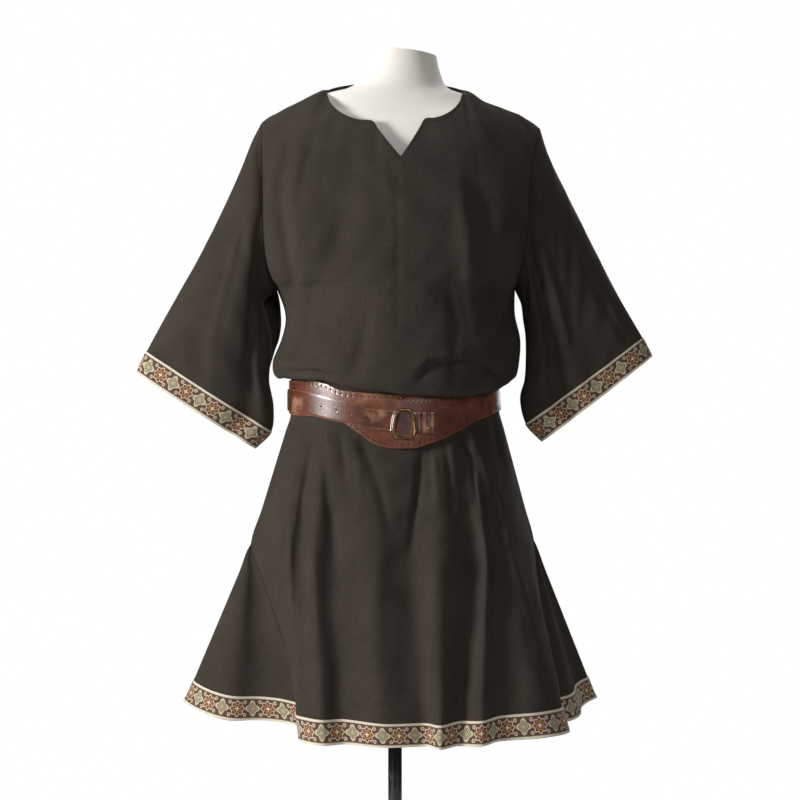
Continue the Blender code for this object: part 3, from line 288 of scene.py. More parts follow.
# The form's sections: height, reach left and right, reach front and back
FORM_SECTIONS = (
    (0.715, 0.118, 0.118, 0.078, 0.082),
    (0.722, 0.146, 0.146, 0.100, 0.106),
    (0.760, 0.160, 0.160, 0.112, 0.120),
    (0.830, 0.156, 0.157, 0.108, 0.114),
    (0.900, 0.142, 0.144, 0.098, 0.102),
    (0.960, 0.134, 0.138, 0.094, 0.096),
    (1.040, 0.144, 0.150, 0.104, 0.102),
    (1.130, 0.162, 0.172, 0.120, 0.112),
    (1.210, 0.174, 0.188, 0.126, 0.118),
    (1.290, 0.184, 0.200, 0.118, 0.112),
    (1.345, 0.190, 0.205, 0.104, 0.096),
    (1.380, 0.189, 0.201, 0.088, 0.078),
    (1.398, 0.184, 0.194, 0.074, 0.066),
    (1.4095, 0.1785, 0.1790, 0.062, 0.058),
    (1.4240, 0.1515, 0.1450, 0.056, 0.054),
    (1.4350, 0.1280, 0.1220, 0.053, 0.052),
    (1.4415, 0.1020, 0.1010, 0.052, 0.051),
    (1.4480, 0.0760, 0.0860, 0.051, 0.051),
    (1.4580, 0.0600, 0.0780, 0.050, 0.050),
    (1.4810, 0.0450, 0.0705, 0.049, 0.049),
    (1.5050, 0.0400, 0.0665, 0.049, 0.049),
)
FORM_TOP_TILT = 0.006
NECK_TILT_FROM = 1.470

# The stand
POLE_RADIUS = 0.011
BASE_RADIUS = 0.170
BASE_THICK = 0.012
COLLAR_RADIUS = 0.021
COLLAR_HEIGHT = 0.048
BASE_FALL = 0.001
OUTER_END = -3.0
INNER_END = 11.0
LAP_OFFSET = 0.0035
LAP_EASE_FROM = 24.0
LAP_EASE_TO = 46.0
END_ROUND_TOP = 0.036
END_ROUND_LOW = 0.009
END_ROUND_TOP_SHARE = 0.35
END_ROUND_LOW_SHARE = 0.20
END_SHARE = 0.10

TONGUE_TIP = -89.0
TONGUE_HALF = 0.0175
TONGUE_POINT = 0.020
TONGUE_END_HALF = 0.0150
TONGUE_LINE = ((-90, 0.9500), (-65, 0.9475), (-28, 0.9315), (-7, 0.9185), (5, 0.9165))
TONGUE_BLUNT = 0.30
TONGUE_NARROW = (-40.0, 30.0)
TONGUE_LEAN = (-12.0, 9.0)
TONGUE_FLAT_END = -13.0
TONGUE_COLUMNS = 88
CURL_GAP = 0.0006
CURL_TURN = (-105.0, 75.0)
CURL_COLUMNS = 20

WIRE_RADIUS = 0.0020
RING_CENTRE = (0.0150, 0.9133)
RING_HALF_WIDTH = 0.0155
RING_TAPER = 0.0036
RING_ROUND_X = 0.45
RING_ROUND_Z = 0.80
RING_HALF_HEIGHT = 0.0222
RING_POINTS = 96
RING_OFF_LEFT = 0.0122
RING_OFF_RIGHT = 0.0118

# The tab's stations across, from its edge behind the ring's bar to its far end
TAB_STEP = 0.0356
TAB_STATIONS = (0.0265, 0.0310, TAB_STEP - 0.0012, TAB_STEP, 0.042, 0.050, 0.056, 0.0610)
TAB_LOW = 0.8985
TAB_HIGH = 0.9310
TAB_BACK_LAYER = 0.0020
TAB_FULL = 0.0045
RIVET_PLACE = (0.0525, 0.9060)
RIVET_RADIUS = 0.0030
RIVET_HEIGHT = 0.0013

SEAM_EDGES = {
    "front": ("first column", "last column", "last row"),
    "back": ("first column", "last column", "last row"),
    "gore_right": ("first column", "last column", "last row"),
    "gore_left": ("first column", "last column", "last row"),
    "sleeve_left": ("first row",),
    "sleeve_right": ("first row",),
}

# The braids: the piece that each lies on, and whether it is at the first rows or the last
BRAIDS = {
    "hem_braid_front": ("front", "first"),
    "hem_braid_back": ("back", "first"),
    "hem_braid_right": ("gore_right", "first"),
    "hem_braid_left": ("gore_left", "first"),
    "cuff_braid_left": ("sleeve_left", "last"),
    "cuff_braid_right": ("sleeve_right", "last"),
}


def smooth(value):
    """0 to 1 with level ends."""
    held = np.clip(value, 0.0, 1.0)
    return held * held * (3.0 - 2.0 * held)


def curve_through(places, values, at):
    """A smooth curve through values at rising places, read at the places in at. It never
    overshoots, because its slope is level where the values turn."""
    places = np.asarray(places, float)
    values = np.asarray(values, float)
    at = np.clip(np.asarray(at, float), places[0], places[-1])
    steps = np.diff(places)
    slopes = np.diff(values) / steps
    turn = slopes[:-1] * slopes[1:] > 0
    inner = np.zeros(len(values) - 2)
    inner[turn] = 2.0 / (1.0 / slopes[:-1][turn] + 1.0 / slopes[1:][turn])
    slope = np.concatenate([[slopes[0]], inner, [slopes[-1]]])
    index = np.clip(np.searchsorted(places, at, side="right") - 1, 0, len(steps) - 1)
    step = steps[index]
    t = (at - places[index]) / step
    keep = (1.0 + 2.0 * t) * (1.0 - t) ** 2
    lean = t * (1.0 - t) ** 2 * step
    reach = t * t * (3.0 - 2.0 * t)
    arrive = t * t * (t - 1.0) * step
    return (
        keep * values[index]
        + lean * slope[index]
        + reach * values[index + 1]
        + arrive * slope[index + 1]
    )


def column_of(table, number):
    return [row[number] for row in table]


def belt_edge(angle, line):
    """The height of one of the belt's lines at an angle in degrees from the front."""
    return curve_through(column_of(BELT_EDGES, 0), column_of(BELT_EDGES, line), angle)


def from_the_front(angle, facing):
    """A panel's own angle in degrees as an angle from the front, from -180 to 180."""
    turned = angle if facing < 0 else 180.0 + angle
    return np.where(turned > 180.0, turned - 360.0, turned)


def waist_point(angle, off):
    """x and y on the waist's ellipse at an angle in degrees from the front, moved out."""
    turn = np.radians(angle)
    x = WAIST_HALF_WIDTH * np.sin(turn)
    y = -WAIST_DEPTH * np.cos(turn)
    across = WAIST_DEPTH * np.sin(turn)
    along = -WAIST_HALF_WIDTH * np.cos(turn)
    length = np.hypot(across, along)
    return x + off * across / length, y + off * along / length


def gather_rise(panel, angle, share):
    """How far the gathers lift the cloth below the belt."""
    rise = np.zeros(np.broadcast(angle, share).shape)
    below = 1.0 - share
    for side, place, half, height, reach in GATHERS:
        if side != panel:
            continue
        grow = smooth(below / 0.06)
        fade = 1.0 - smooth(below / reach)
        rise = rise + height * np.exp(-(((angle - place) / half) ** 2)) * grow * fade
    return rise


def skirt_rows(panel, table, columns, facing):
    """The skirt's rows of one panel, from the hem to the belt. facing is -1 at the front, 1 at
    the back."""
    stations = np.linspace(0.0, 1.0, len(table))
    across = np.linspace(0.0, 1.0, columns + 1)
    angle = curve_through(stations, column_of(table, 1), across)
    mid_x, mid_y, hem_x, hem_y, hem_z = (
        curve_through(stations, column_of(table, n), across) for n in range(2, 7)
    )
    front_angle = from_the_front(angle, facing)
    belt_x, belt_y = waist_point(front_angle, 0.0)
    belt_z = belt_edge(front_angle, BELT_LOW) + BELT_COVER
    rows = []
    for share in SKIRT_SHARES:
        if share <= APEX_SHARE:
            part = share / APEX_SHARE
            x = hem_x + (mid_x - hem_x) * part
            y = hem_y + (mid_y - hem_y) * part
        else:
            part = (share - APEX_SHARE) / (1.0 - APEX_SHARE)
            x = mid_x + (belt_x - mid_x) * part
            y = mid_y + (belt_y - mid_y) * part
        z = hem_z + (belt_z - hem_z) * share
        rise = gather_rise(panel, angle, np.full_like(angle, share))
        out_x, out_y = waist_point(front_angle, 1.0)
        x = x + rise * (out_x - belt_x)
        y = y + rise * (out_y - belt_y)
        rows.append(np.stack([x, y, z], axis=1))
    return np.array(rows), angle


def fold_lift(panel, x, z, folds=CHEST_FOLDS):
    """How far the chest's soft folds move the cloth out at x and z."""
    lift = np.zeros_like(x)
    for side, first, middle, last, half, rise in folds:
        if side != panel:
            continue
        nearest = np.full_like(x, 1e9)
        place = np.zeros_like(x)
        for number, (start, end) in enumerate(((first, middle), (middle, last))):
            run_x = end[0] - start[0]
            run_z = end[1] - start[1]
            along = ((x - start[0]) * run_x + (z - start[1]) * run_z) / (run_x**2 + run_z**2)
            held = np.clip(along, 0.0, 1.0)
            away = np.hypot(x - start[0] - held * run_x, z - start[1] - held * run_z)
            closer = away < nearest
            nearest = np.where(closer, away, nearest)
            place = np.where(closer, (number + held) / 2.0, place)
        ends = 0.35 + 0.65 * np.sin(np.pi * np.clip(place, 0.0, 1.0))
        lift = lift + rise * np.exp(-((nearest / half) ** 2)) * ends
    return lift


def body_rows(panel, belt_angle, columns, facing):
    """The rows over the belt up to the chest. They start with the belt's angles and end with
    even ones."""
    even = np.linspace(-90.0, 90.0, columns + 1)
    rows = []
    table = [
        (row[1], row[2:6], row[6], row[7], 0.0, row[8] if facing < 0 else row[9])
        for row in BODY_ROWS
    ]
    table += [
        (FLOOR_LINE, (row[0],) * 4, row[1], row[2], row[3], row[4] if facing < 0 else row[5])
        for row in CHEST_ROWS
    ]
    for number, (line, heights, left, right, armhole, depth) in enumerate(table):
        share = smooth(number / (len(table) - 1.0))
        angle = belt_angle + (even - belt_angle) * share
        turn = np.radians(angle)
        sine = np.sin(turn) * (1.0 if facing < 0 else -1.0)
        cosine = np.maximum(np.cos(turn), 0.0)
        x = np.where(sine < 0, left, right) * sine
        y = facing * (armhole + (depth - armhole) * cosine)
        side = np.where(sine < 0, heights[1], heights[2])
        middle = heights[0] if facing < 0 else heights[3]
        z = side + (middle - side) * cosine**2
        if line != FLOOR_LINE:
            z = z + belt_edge(from_the_front(angle, facing), line)
        lift = fold_lift(panel, x, z) * smooth((number - 3.0) / 2.0) * smooth(cosine / 0.3)
        rows.append(np.stack([x, y + facing * lift, z], axis=1))
    return np.array(rows)


def neck_front():
    """x, z and the arch's own height of each column's top on the front."""
    left, slit_left, tip, slit_right, right = FRONT_NECK_COLUMNS
    x = np.zeros(FRONT_COLUMNS + 1)
    x[: left + 1] = np.linspace(TIP_LEFT, NECK_LEFT, left + 1)
    x[right:] = np.linspace(NECK_RIGHT, TIP_RIGHT, FRONT_COLUMNS - right + 1)
    z = curve_through(column_of(RIDGE, 0), column_of(RIDGE, 1), x)
    arch = z.copy()
    for start, end, corner, point in (
        (left, slit_left, SLIT_LEFT, NECK_LEFT),
        (right, slit_right, SLIT_RIGHT, NECK_RIGHT),
    ):
        for number in range(abs(end - start) + 1):
            turn = math.pi / 2 * (1.0 - number / abs(end - start))
            place = start + number * (1 if end > start else -1)
            x[place] = corner[0] + (point - corner[0]) * math.sin(turn)
            z[place] = corner[1] + (NECK_POINT_Z - corner[1]) * (1.0 - math.cos(turn))
    for end, corner in ((slit_left, SLIT_LEFT), (slit_right, SLIT_RIGHT)):
        step = 1 if end > tip else -1
        for place in range(tip, end + step, step):
            share = abs(place - tip) / abs(end - tip)
            x[place] = SLIT_TIP[0] + (corner[0] - SLIT_TIP[0]) * share
            z[place] = SLIT_TIP[1] + (corner[1] - SLIT_TIP[1]) * share**SLIT_CURVE
    inside = slice(left, right + 1)
    arch[inside] = curve_through(column_of(RIDGE, 0), column_of(RIDGE, 1), x[inside])
    return x, z, arch


def neck_back():
    """The same for the back, whose columns run from the right to the left."""
    right, left = BACK_NECK_COLUMNS[0] - 1, BACK_NECK_COLUMNS[1]
    x = np.zeros(BACK_COLUMNS + 1)
    x[: right + 1] = np.linspace(TIP_RIGHT, NECK_RIGHT, right + 1)
    x[left:] = np.linspace(NECK_LEFT, TIP_LEFT, BACK_COLUMNS - left + 1)
    z = curve_through(column_of(RIDGE, 0), column_of(RIDGE, 1), x)
    arch = z.copy()
    middle = (NECK_LEFT + NECK_RIGHT) / 2
    half = (NECK_RIGHT - NECK_LEFT) / 2
    for place in range(right, left + 1):
        turn = math.pi / 2 * (1.0 - 2.0 * (place - right) / (left - right))
        x[place] = middle + half * math.sin(turn)
        z[place] = NECK_POINT_Z + NAPE_RISE * math.cos(turn)
        arch[place] = NECK_POINT_Z + NAPE_ARCH * math.cos(turn)
    return x, z, arch


def arch_rows(panel, chest, top, facing):
    """The rows from the chest over the shoulder to the ridge or the neck's edge."""
    top_x, top_z, arch_z = top
    base_z = chest[:, 2]
    chest_lift = fold_lift(panel, chest[:, 0], base_z)
    depth = np.abs(chest[:, 1]) - chest_lift * smooth(np.abs(chest[:, 1]) / 0.12)
    last = np.arcsin(np.clip((top_z - base_z) / (arch_z - base_z), 0.0, 1.0))
    rows = []
    for number in range(1, ARCH_ROWS + 1):
        share = number / ARCH_ROWS
        turn = last * share
        x = chest[:, 0] + (top_x - chest[:, 0]) * smooth(share)
        z = base_z + (arch_z - base_z) * np.sin(turn)
        lift = fold_lift(panel, x, z) * (1.0 - share)
        y = facing * (depth * np.cos(turn) + lift * np.cos(turn))
        rows.append(np.stack([x, y, z], axis=1))
    return np.array(rows)


def part_the_tips(panel):
    """Closes the side seams down to the gores' tips and opens them a little there."""
    apex = SKIRT_SHARES.index(APEX_SHARE)
    for column in (0, -1):
        side = 1.0 if panel[apex, len(panel[0]) // 2, 1] > 0 else -1.0
        panel[apex, column, 1] = side * APEX_HALF
        panel[apex + 1 : len(SKIRT_SHARES), column, 1] = 0.0
    return panel


def body_panel(name):
    """All rows of the front or the back, from the hem to the shoulder and neck."""
    front = name == "front"
    facing = -1 if front else 1
    table = FRONT_FOLDS if front else BACK_FOLDS
    columns = FRONT_COLUMNS if front else BACK_COLUMNS
    skirt, angle = skirt_rows(name, table, columns, facing)
    body = body_rows(name, angle, columns, facing)
    top = neck_front() if front else neck_back()
    arch = arch_rows(name, body[-1], top, facing)
    return part_the_tips(np.concatenate([skirt, body, arch]))


def gore(table, first_edge, last_edge):
    """A gore between two panels' edges, from the hem to its tip. Its folds fan from the tip."""
    rows = SKIRT_SHARES.index(APEX_SHARE) + 1
    across = np.linspace(0.0, 1.0, GORE_COLUMNS + 1)
    places = column_of(table, 1)
    hem = np.stack(
        [curve_through(places, column_of(table, n), across) for n in (2, 3, 4)], axis=1
    )
    tip = (first_edge[rows - 1] + last_edge[rows - 1]) / 2
    grid = np.zeros((rows, GORE_COLUMNS + 1, 3))
    for number in range(rows):
        open_share = 1.0 - SKIRT_SHARES[number] / APEX_SHARE
        fan = tip + (hem - tip) * open_share
        first = first_edge[number] - fan[0]
        last = last_edge[number] - fan[-1]
        grid[number] = fan + np.outer(1.0 - across, first) + np.outer(across, last)
    return grid


def armhole_loop(front_edge, back_edge, sign):
    """The armhole's points from its lowest one. The left one climbs the front, the right one
    the back, so that both sleeves face outwards."""
    lowest = (front_edge[0] + back_edge[0]) / 2
    tip = (front_edge[-1] + back_edge[-1]) / 2
    up, down = (front_edge, back_edge) if sign < 0 else (back_edge, front_edge)
    return np.array([lowest, *up[1:-1], tip, *down[-2:0:-1]])


def sleeve_turns(loop, lowest, top):
    """Each loop point's place from -1, under, to 1, on top."""
    place = 2.0 * (loop[:, 2] - lowest[2]) / (top[2] - lowest[2]) - 1.0
    return np.clip(place, -1.0, 1.0)


def sleeve_fold_lift(side_name, on_front, place):
    lift = np.zeros_like(place)
    for sleeve, side, middle, half, rise in SLEEVE_FOLDS:
        if sleeve != side_name:
            continue
        lift = lift + np.where(
            on_front == (side == "front"), rise * np.exp(-(((place - middle) / half) ** 2)), 0.0
        )
    return lift


def sleeve(side_name, sections, loop):
    """A sleeve from the armhole to the cuff. The first ring is the armhole itself."""
    sign = -1.0 if side_name == "left" else 1.0
    count = len(loop)
    place = sleeve_turns(loop, loop[0], loop[count // 2])
    number = np.arange(count)
    climbing = number < count // 2
    on_front = climbing if sign < 0 else ~climbing
    on_front[0] = on_front[count // 2] = True
    facing = np.where(on_front, -1.0, 1.0)
    depth_share = np.maximum(1.0 - place**2, 0.0) ** (SLEEVE_SQUARENESS / 2)
    tuck = np.exp(-(((place - TUCK_PLACE) / TUCK_WIDTH) ** 2))
    near = smooth((place + 1.0) / TUCK_EASE)
    tuck = tuck * np.where(on_front, TUCK_LOW * (1.0 - near), TUCK_LOW + (1.0 - TUCK_LOW) * near)
    rings = [loop]
    last = len(sections) - 1
    for index in range(1, last + 1):
        top_x, top_z, low_x, low_z, depth, tucked = sections[index]
        share = (place + 1.0) / 2
        x = low_x + (top_x - low_x) * share - sign * tucked * tuck
        z = low_z + (top_z - low_z) * share
        fold = sleeve_fold_lift(side_name, on_front, place) * smooth(index / 2.0)
        y = facing * (depth * depth_share + fold * smooth(depth_share / 0.5))
        rings.append(np.stack([x, y, z], axis=1))
    return np.array(rings)


def normals_of(grid, closed=False):
    """Unit normals of a grid, facing out of the cloth."""
    if closed:
        across = np.roll(grid, -1, axis=1) - np.roll(grid, 1, axis=1)
    else:
        across = np.gradient(grid, axis=1)
    up = np.gradient(grid, axis=0)
    normal = np.cross(across, up)
    return normal / np.linalg.norm(normal, axis=2, keepdims=True)


def pulled_back(grid, edges, distance):
    """The grid with its seam edges moved back, square to the seam."""
    result = grid.copy()
    pairs = {
        "first column": (np.s_[:, 0], np.s_[:, 1]),
        "last column": (np.s_[:, -1], np.s_[:, -2]),
        "first row": (np.s_[0], np.s_[1]),
        "last row": (np.s_[-1], np.s_[-2]),
    }
    for edge in edges:
        border, inner = pairs[edge]
        along = np.gradient(grid[border], axis=0)
        along = along / np.linalg.norm(along, axis=-1, keepdims=True)
        step = grid[inner] - grid[border]
        step = step - along * (step * along).sum(axis=-1, keepdims=True)
        length = np.linalg.norm(step, axis=-1, keepdims=True)
        result[border] = result[border] + distance * step / length
    return result


def lap_off(angle):
    """How far the band stands off the cloth: its outer end laps over its inner one."""
    return BELT_GAP + LAP_OFFSET * (
        1.0 - smooth((angle - LAP_EASE_FROM) / (LAP_EASE_TO - LAP_EASE_FROM))
    )


def tongue_path():
    """The strap's mid line seen from above: x and y of each column."""
    off = BELT_GAP + LEATHER + REST_GAP + STRAP / 2
    bar = ring_point(math.pi)
    curl = WIRE_RADIUS + CURL_GAP + STRAP / 2
    angles = np.linspace(TONGUE_TIP, TONGUE_FLAT_END, TONGUE_COLUMNS + 1)
    points = []
    for angle in angles:
        x, y = waist_point(angle, off)
        points.append((float(x), float(y)))
    turns = np.radians(np.linspace(*CURL_TURN, CURL_COLUMNS + 1))
    for turn in turns:
        points.append((bar[0] + curl * math.sin(turn), bar[1] - curl * math.cos(turn)))
    return np.array(points)


def bar_x(height):
    """x of the ring's left bar at a height."""
    share = (height - RING_CENTRE[1]) / RING_HALF_HEIGHT
    share = math.copysign(min(abs(share), 0.95) ** (1.0 / RING_ROUND_Z), share)
    reach = (1.0 - share**2) ** (RING_ROUND_X / 2)
    return RING_CENTRE[0] - (RING_HALF_WIDTH - RING_TAPER * share) * reach


def ring_point(turn):
    """A point of the ring's wire. The ring leans back from its left bar to its right one."""
    cosine = math.cos(turn)
    sine = math.sin(turn)
    half = RING_HALF_WIDTH - RING_TAPER * sine
    x = RING_CENTRE[0] + half * math.copysign(abs(cosine) ** RING_ROUND_X, cosine)
    z = RING_CENTRE[1] + RING_HALF_HEIGHT * math.copysign(abs(sine) ** RING_ROUND_Z, sine)
    left_x = RING_CENTRE[0] - RING_HALF_WIDTH
    right_x = RING_CENTRE[0] + RING_HALF_WIDTH
    left_y = float(waist_y_at(left_x, RING_OFF_LEFT))
    right_y = float(waist_y_at(right_x, RING_OFF_RIGHT))
    y = left_y + (right_y - left_y) * (x - left_x) / (right_x - left_x)
    return x, y, z


def waist_y_at(x, off):
    """y on the front of the waist at x, moved out."""
    angle = np.degrees(np.arcsin(np.clip(x / (WAIST_HALF_WIDTH + off), -1.0, 1.0)))
    return waist_point(angle, off)[1]


# Fine steps to each row and column of the coarse grids
ROW_STEPS = 5
COLUMN_STEPS = 4
RING_STEPS = 8
SMOOTHING_ROUNDS = 3

# Creases put on the fine grids: panel, three points as x and z, half width, rise
CREASES = (
    ("front", (-0.170, 1.337), (-0.180, 1.269), (-0.157, 1.103), 0.0070, -0.0030),
    ("front", (-0.181, 0.993), (-0.131, 0.994), (-0.076, 0.982), 0.0045, -0.0040),
    ("front", (-0.188, 1.012), (-0.150, 1.006), (-0.110, 0.999), 0.0070, 0.0030),
    ("front", (0.036, 0.983), (0.054, 1.003), (0.127, 1.011), 0.0050, -0.0045),
    ("front", (0.030, 0.994), (0.050, 1.015), (0.120, 1.024), 0.0080, 0.0030),
    ("front", (0.132, 1.007), (0.146, 0.997), (0.172, 0.983), 0.0045, -0.0040),
    ("front", (0.180, 1.121), (0.192, 1.119), (0.203, 1.116), 0.0040, -0.0030),
    ("front", (0.135, 1.034), (0.176, 1.108), (0.222, 1.240), 0.0060, 0.0030),
    ("front", (0.145, 1.020), (0.186, 1.096), (0.206, 1.180), 0.0070, -0.0035),
    ("front", (-0.130, 1.110), (-0.142, 1.060), (-0.160, 1.010), 0.0090, -0.0030),
    ("front", (-0.040, 1.080), (-0.052, 1.030), (-0.066, 0.985), 0.0100, -0.0022),
    ("front", (0.004, 1.300), (0.005, 1.180), (0.002, 1.050), 0.0050, -0.0008),
    ("front", (0.086, 1.120), (0.092, 1.060), (0.090, 0.990), 0.0080, -0.0025),
    ("front", (-0.147, 0.900), (-0.163, 0.803), (-0.160, 0.640), 0.0060, 0.0030),
    ("front", (-0.131, 0.880), (-0.145, 0.803), (-0.146, 0.730), 0.0060, -0.0035),
    ("front", (-0.116, 0.890), (-0.100, 0.782), (-0.084, 0.650), 0.0090, -0.0030),
    ("front", (-0.086, 0.895), (-0.080, 0.860), (-0.076, 0.820), 0.0050, -0.0025),
    ("front", (-0.050, 0.885), (-0.022, 0.808), (-0.009, 0.753), 0.0060, -0.0030),
    ("front", (-0.062, 0.885), (-0.056, 0.850), (-0.052, 0.800), 0.0050, 0.0020),
    ("front", (0.042, 0.872), (0.037, 0.817), (0.024, 0.720), 0.0060, -0.0035),
    ("front", (0.060, 0.880), (0.063, 0.840), (0.066, 0.790), 0.0060, 0.0025),
    ("front", (0.078, 0.885), (0.084, 0.840), (0.088, 0.780), 0.0050, -0.0028),
    ("front", (0.103, 0.900), (0.121, 0.861), (0.127, 0.790), 0.0060, -0.0040),
    ("front", (0.116, 0.900), (0.136, 0.850), (0.150, 0.790), 0.0070, 0.0028),
    ("front", (0.149, 0.860), (0.176, 0.720), (0.235, 0.530), 0.0070, 0.0025),
    ("front", (-0.020, 0.740), (-0.030, 0.620), (-0.028, 0.500), 0.0140, 0.0020),
    ("front", (0.062, 0.700), (0.060, 0.600), (0.058, 0.490), 0.0120, 0.0020),
    ("back", (0.150, 1.010), (0.110, 1.000), (0.060, 1.008), 0.0050, -0.0040),
    ("back", (-0.150, 1.006), (-0.104, 1.012), (-0.060, 1.002), 0.0050, -0.0040),
    ("back", (0.020, 1.060), (0.030, 1.030), (0.046, 0.998), 0.0080, -0.0028),
    ("back", (-0.016, 1.070), (-0.022, 1.034), (-0.030, 1.000), 0.0080, 0.0024),
    ("back", (0.182, 1.140), (0.150, 1.100), (0.132, 1.030), 0.0080, -0.0030),
    ("back", (-0.182, 1.150), (-0.148, 1.104), (-0.128, 1.034), 0.0080, -0.0032),
    ("back", (0.100, 1.380), (0.070, 1.340), (0.030, 1.320), 0.0080, -0.0020),
    ("back", (-0.110, 1.372), (-0.078, 1.336), (-0.040, 1.318), 0.0080, -0.0022),
    ("back", (0.140, 0.930), (0.150, 0.850), (0.152, 0.740), 0.0070, -0.0035),
    ("back", (0.096, 0.935), (0.098, 0.870), (0.094, 0.790), 0.0060, -0.0032),
    ("back", (0.040, 0.938), (0.050, 0.860), (0.056, 0.760), 0.0070, 0.0028),
    ("back", (-0.010, 0.938), (-0.006, 0.880), (-0.004, 0.820), 0.0060, -0.0030),
    ("back", (-0.066, 0.936), (-0.070, 0.850), (-0.074, 0.720), 0.0070, 0.0028),
    ("back", (-0.110, 0.934), (-0.118, 0.870), (-0.124, 0.780), 0.0060, -0.0034),
)

# Creases along and across the sleeves: sleeve, side, place from -1 under to 1 on top at the
# shoulder's end and at the cuff's end, shares of the length from and to, half width, rise
SLEEVE_CREASES = (
    ("left", "front", -0.40, -0.62, 0.10, 0.80, 0.05, -0.0035),
    ("left", "front", 0.10, -0.20, 0.25, 0.95, 0.07, 0.0025),
    ("left", "front", 0.62, 0.55, 0.05, 0.50, 0.06, -0.0020),
    ("left", "back", -0.30, -0.55, 0.10, 0.75, 0.06, -0.0035),
    ("left", "back", 0.25, 0.05, 0.20, 0.90, 0.07, 0.0028),
    ("right", "front", -0.44, -0.50, 0.08, 0.85, 0.05, -0.0038),
    ("right", "front", -0.10, -0.22, 0.15, 0.75, 0.05, -0.0028),
    ("right", "front", 0.30, 0.50, 0.45, 0.90, 0.06, -0.0022),
    ("right", "back", -0.36, -0.50, 0.10, 0.80, 0.06, -0.0034),
    ("right", "back", 0.20, 0.30, 0.20, 0.85, 0.07, 0.0026),
)

# How much deeper the creases are pressed than their table says
CREASE_DEPTH = 1.7

# Slow waves that keep large plain stretches from looking pressed: length and lean of each wave
WAVES = ((0.083, 0.3), (0.061, 1.9), (0.047, 2.7), (0.104, 1.2))
WAVE_RISE = 0.00045

NECK_FRONT_SPAN = (FRONT_NECK_COLUMNS[0], FRONT_NECK_COLUMNS[-1])
NECK_BACK_SPAN = (BACK_NECK_COLUMNS[0] - 1, BACK_NECK_COLUMNS[1])
BRAID_WIDTH = 0.035
FAR = 1.0

# Each cloth piece's cut as it lies flat: width, length and area
CUTS = {
    "front": (0.70, 1.13, 0.575),
    "back": (0.62, 1.12, 0.560),
    "gore_left": (0.475, 0.30, 0.0646),
    "gore_right": (0.350, 0.30, 0.0474),
    "sleeve_left": (0.62, 0.45, 0.1637),
    "sleeve_right": (0.60, 0.44, 0.1544),
    "hem_braid_front": (0.700, BRAID_WIDTH, None),
    "hem_braid_back": (0.617, BRAID_WIDTH, None),
    "hem_braid_left": (0.475, BRAID_WIDTH, None),
    "hem_braid_right": (0.349, BRAID_WIDTH, None),
    "cuff_braid_left": (0.586, BRAID_WIDTH, None),
    "cuff_braid_right": (0.563, BRAID_WIDTH, None),
}


def eased(values, steps):
    """A smooth curve through rows of points, with steps to each gap. Its pace follows the
    gaps' lengths, so that it doesn't swing past close rows."""
    reach = np.linalg.norm(np.diff(values, axis=0), axis=-1)
    gaps = np.sqrt(reach.reshape(len(values) - 1, -1).mean(axis=1))
    gaps = np.maximum(gaps, 0.001).reshape(-1, *([1] * (values.ndim - 1)))
    secant = np.diff(values, axis=0) / gaps
    between = (secant[:-1] * gaps[1:] + secant[1:] * gaps[:-1]) / (gaps[:-1] + gaps[1:])
    slope = np.concatenate([secant[:1], between, secant[-1:]])
    finer = []
    for step in range(steps):
        t = step / steps
        row = (1.0 + 2.0 * t) * (1.0 - t) ** 2 * values[:-1]
        row = row + t * (1.0 - t) ** 2 * gaps * slope[:-1]
        row = row + t * t * (3.0 - 2.0 * t) * values[1:]
        row = row + t * t * (t - 1.0) * gaps * slope[1:]
        finer.append(row)
    woven = np.stack(finer, axis=1).reshape(-1, *values.shape[1:])
    return np.concatenate([woven, values[-1:]])


def finer_panel(grid):
    down = eased(grid, ROW_STEPS)
    return eased(down.swapaxes(0, 1), COLUMN_STEPS).swapaxes(0, 1)


def relaxed(grid, rounds):
    """The grid with its inner points drawn towards their neighbours."""
    result = grid.copy()
    for _ in range(rounds):
        around = result[:-2, 1:-1] + result[2:, 1:-1] + result[1:-1, :-2] + result[1:-1, 2:]
        result[1:-1, 1:-1] = 0.5 * result[1:-1, 1:-1] + 0.125 * around
    return result


def run_along(grid, axis):
    """The length walked from the first row or column, point by point."""
    steps = np.linalg.norm(np.diff(grid, axis=axis), axis=-1)
    start = np.zeros_like(np.take(steps, [0], axis=axis))
    return np.concatenate([start, np.cumsum(steps, axis=axis)], axis=axis)


def seam_fade(grid, reach=0.018):
    """0 at the side seams, 1 a little way in, so that neighbours keep meeting."""
    across = run_along(grid, 1)
    nearest = np.minimum(across, across[:, -1:] - across)
    return smooth(nearest / reach)


def waves(grid):
    """Slow waves in the cloth, seen from its own lengths."""
    across = run_along(grid, 1)
    up = run_along(grid, 0)
    total = np.zeros(across.shape)
    for number, (length, lean) in enumerate(WAVES):
        phase = (across * math.cos(lean) + up * math.sin(lean)) / length
        total = total + np.sin(2.0 * math.pi * phase + number)
    return total * WAVE_RISE


def creased(name, grid):
    """The panel with its creases pressed in along its normals."""
    normals = normals_of(grid)
    x, z = grid[..., 0], grid[..., 2]
    lift = CREASE_DEPTH * fold_lift(name, x, z, CREASES) + waves(grid)
    held = seam_fade(grid)
    top = run_along(grid, 0)
    held = held * smooth((top[-1:] - top) / 0.012)
    return grid + (lift * held)[..., None] * normals


def meet(first, second):
    """Puts two seam edges on one line."""
    middle = (first + second) / 2
    first[:] = middle
    second[:] = middle


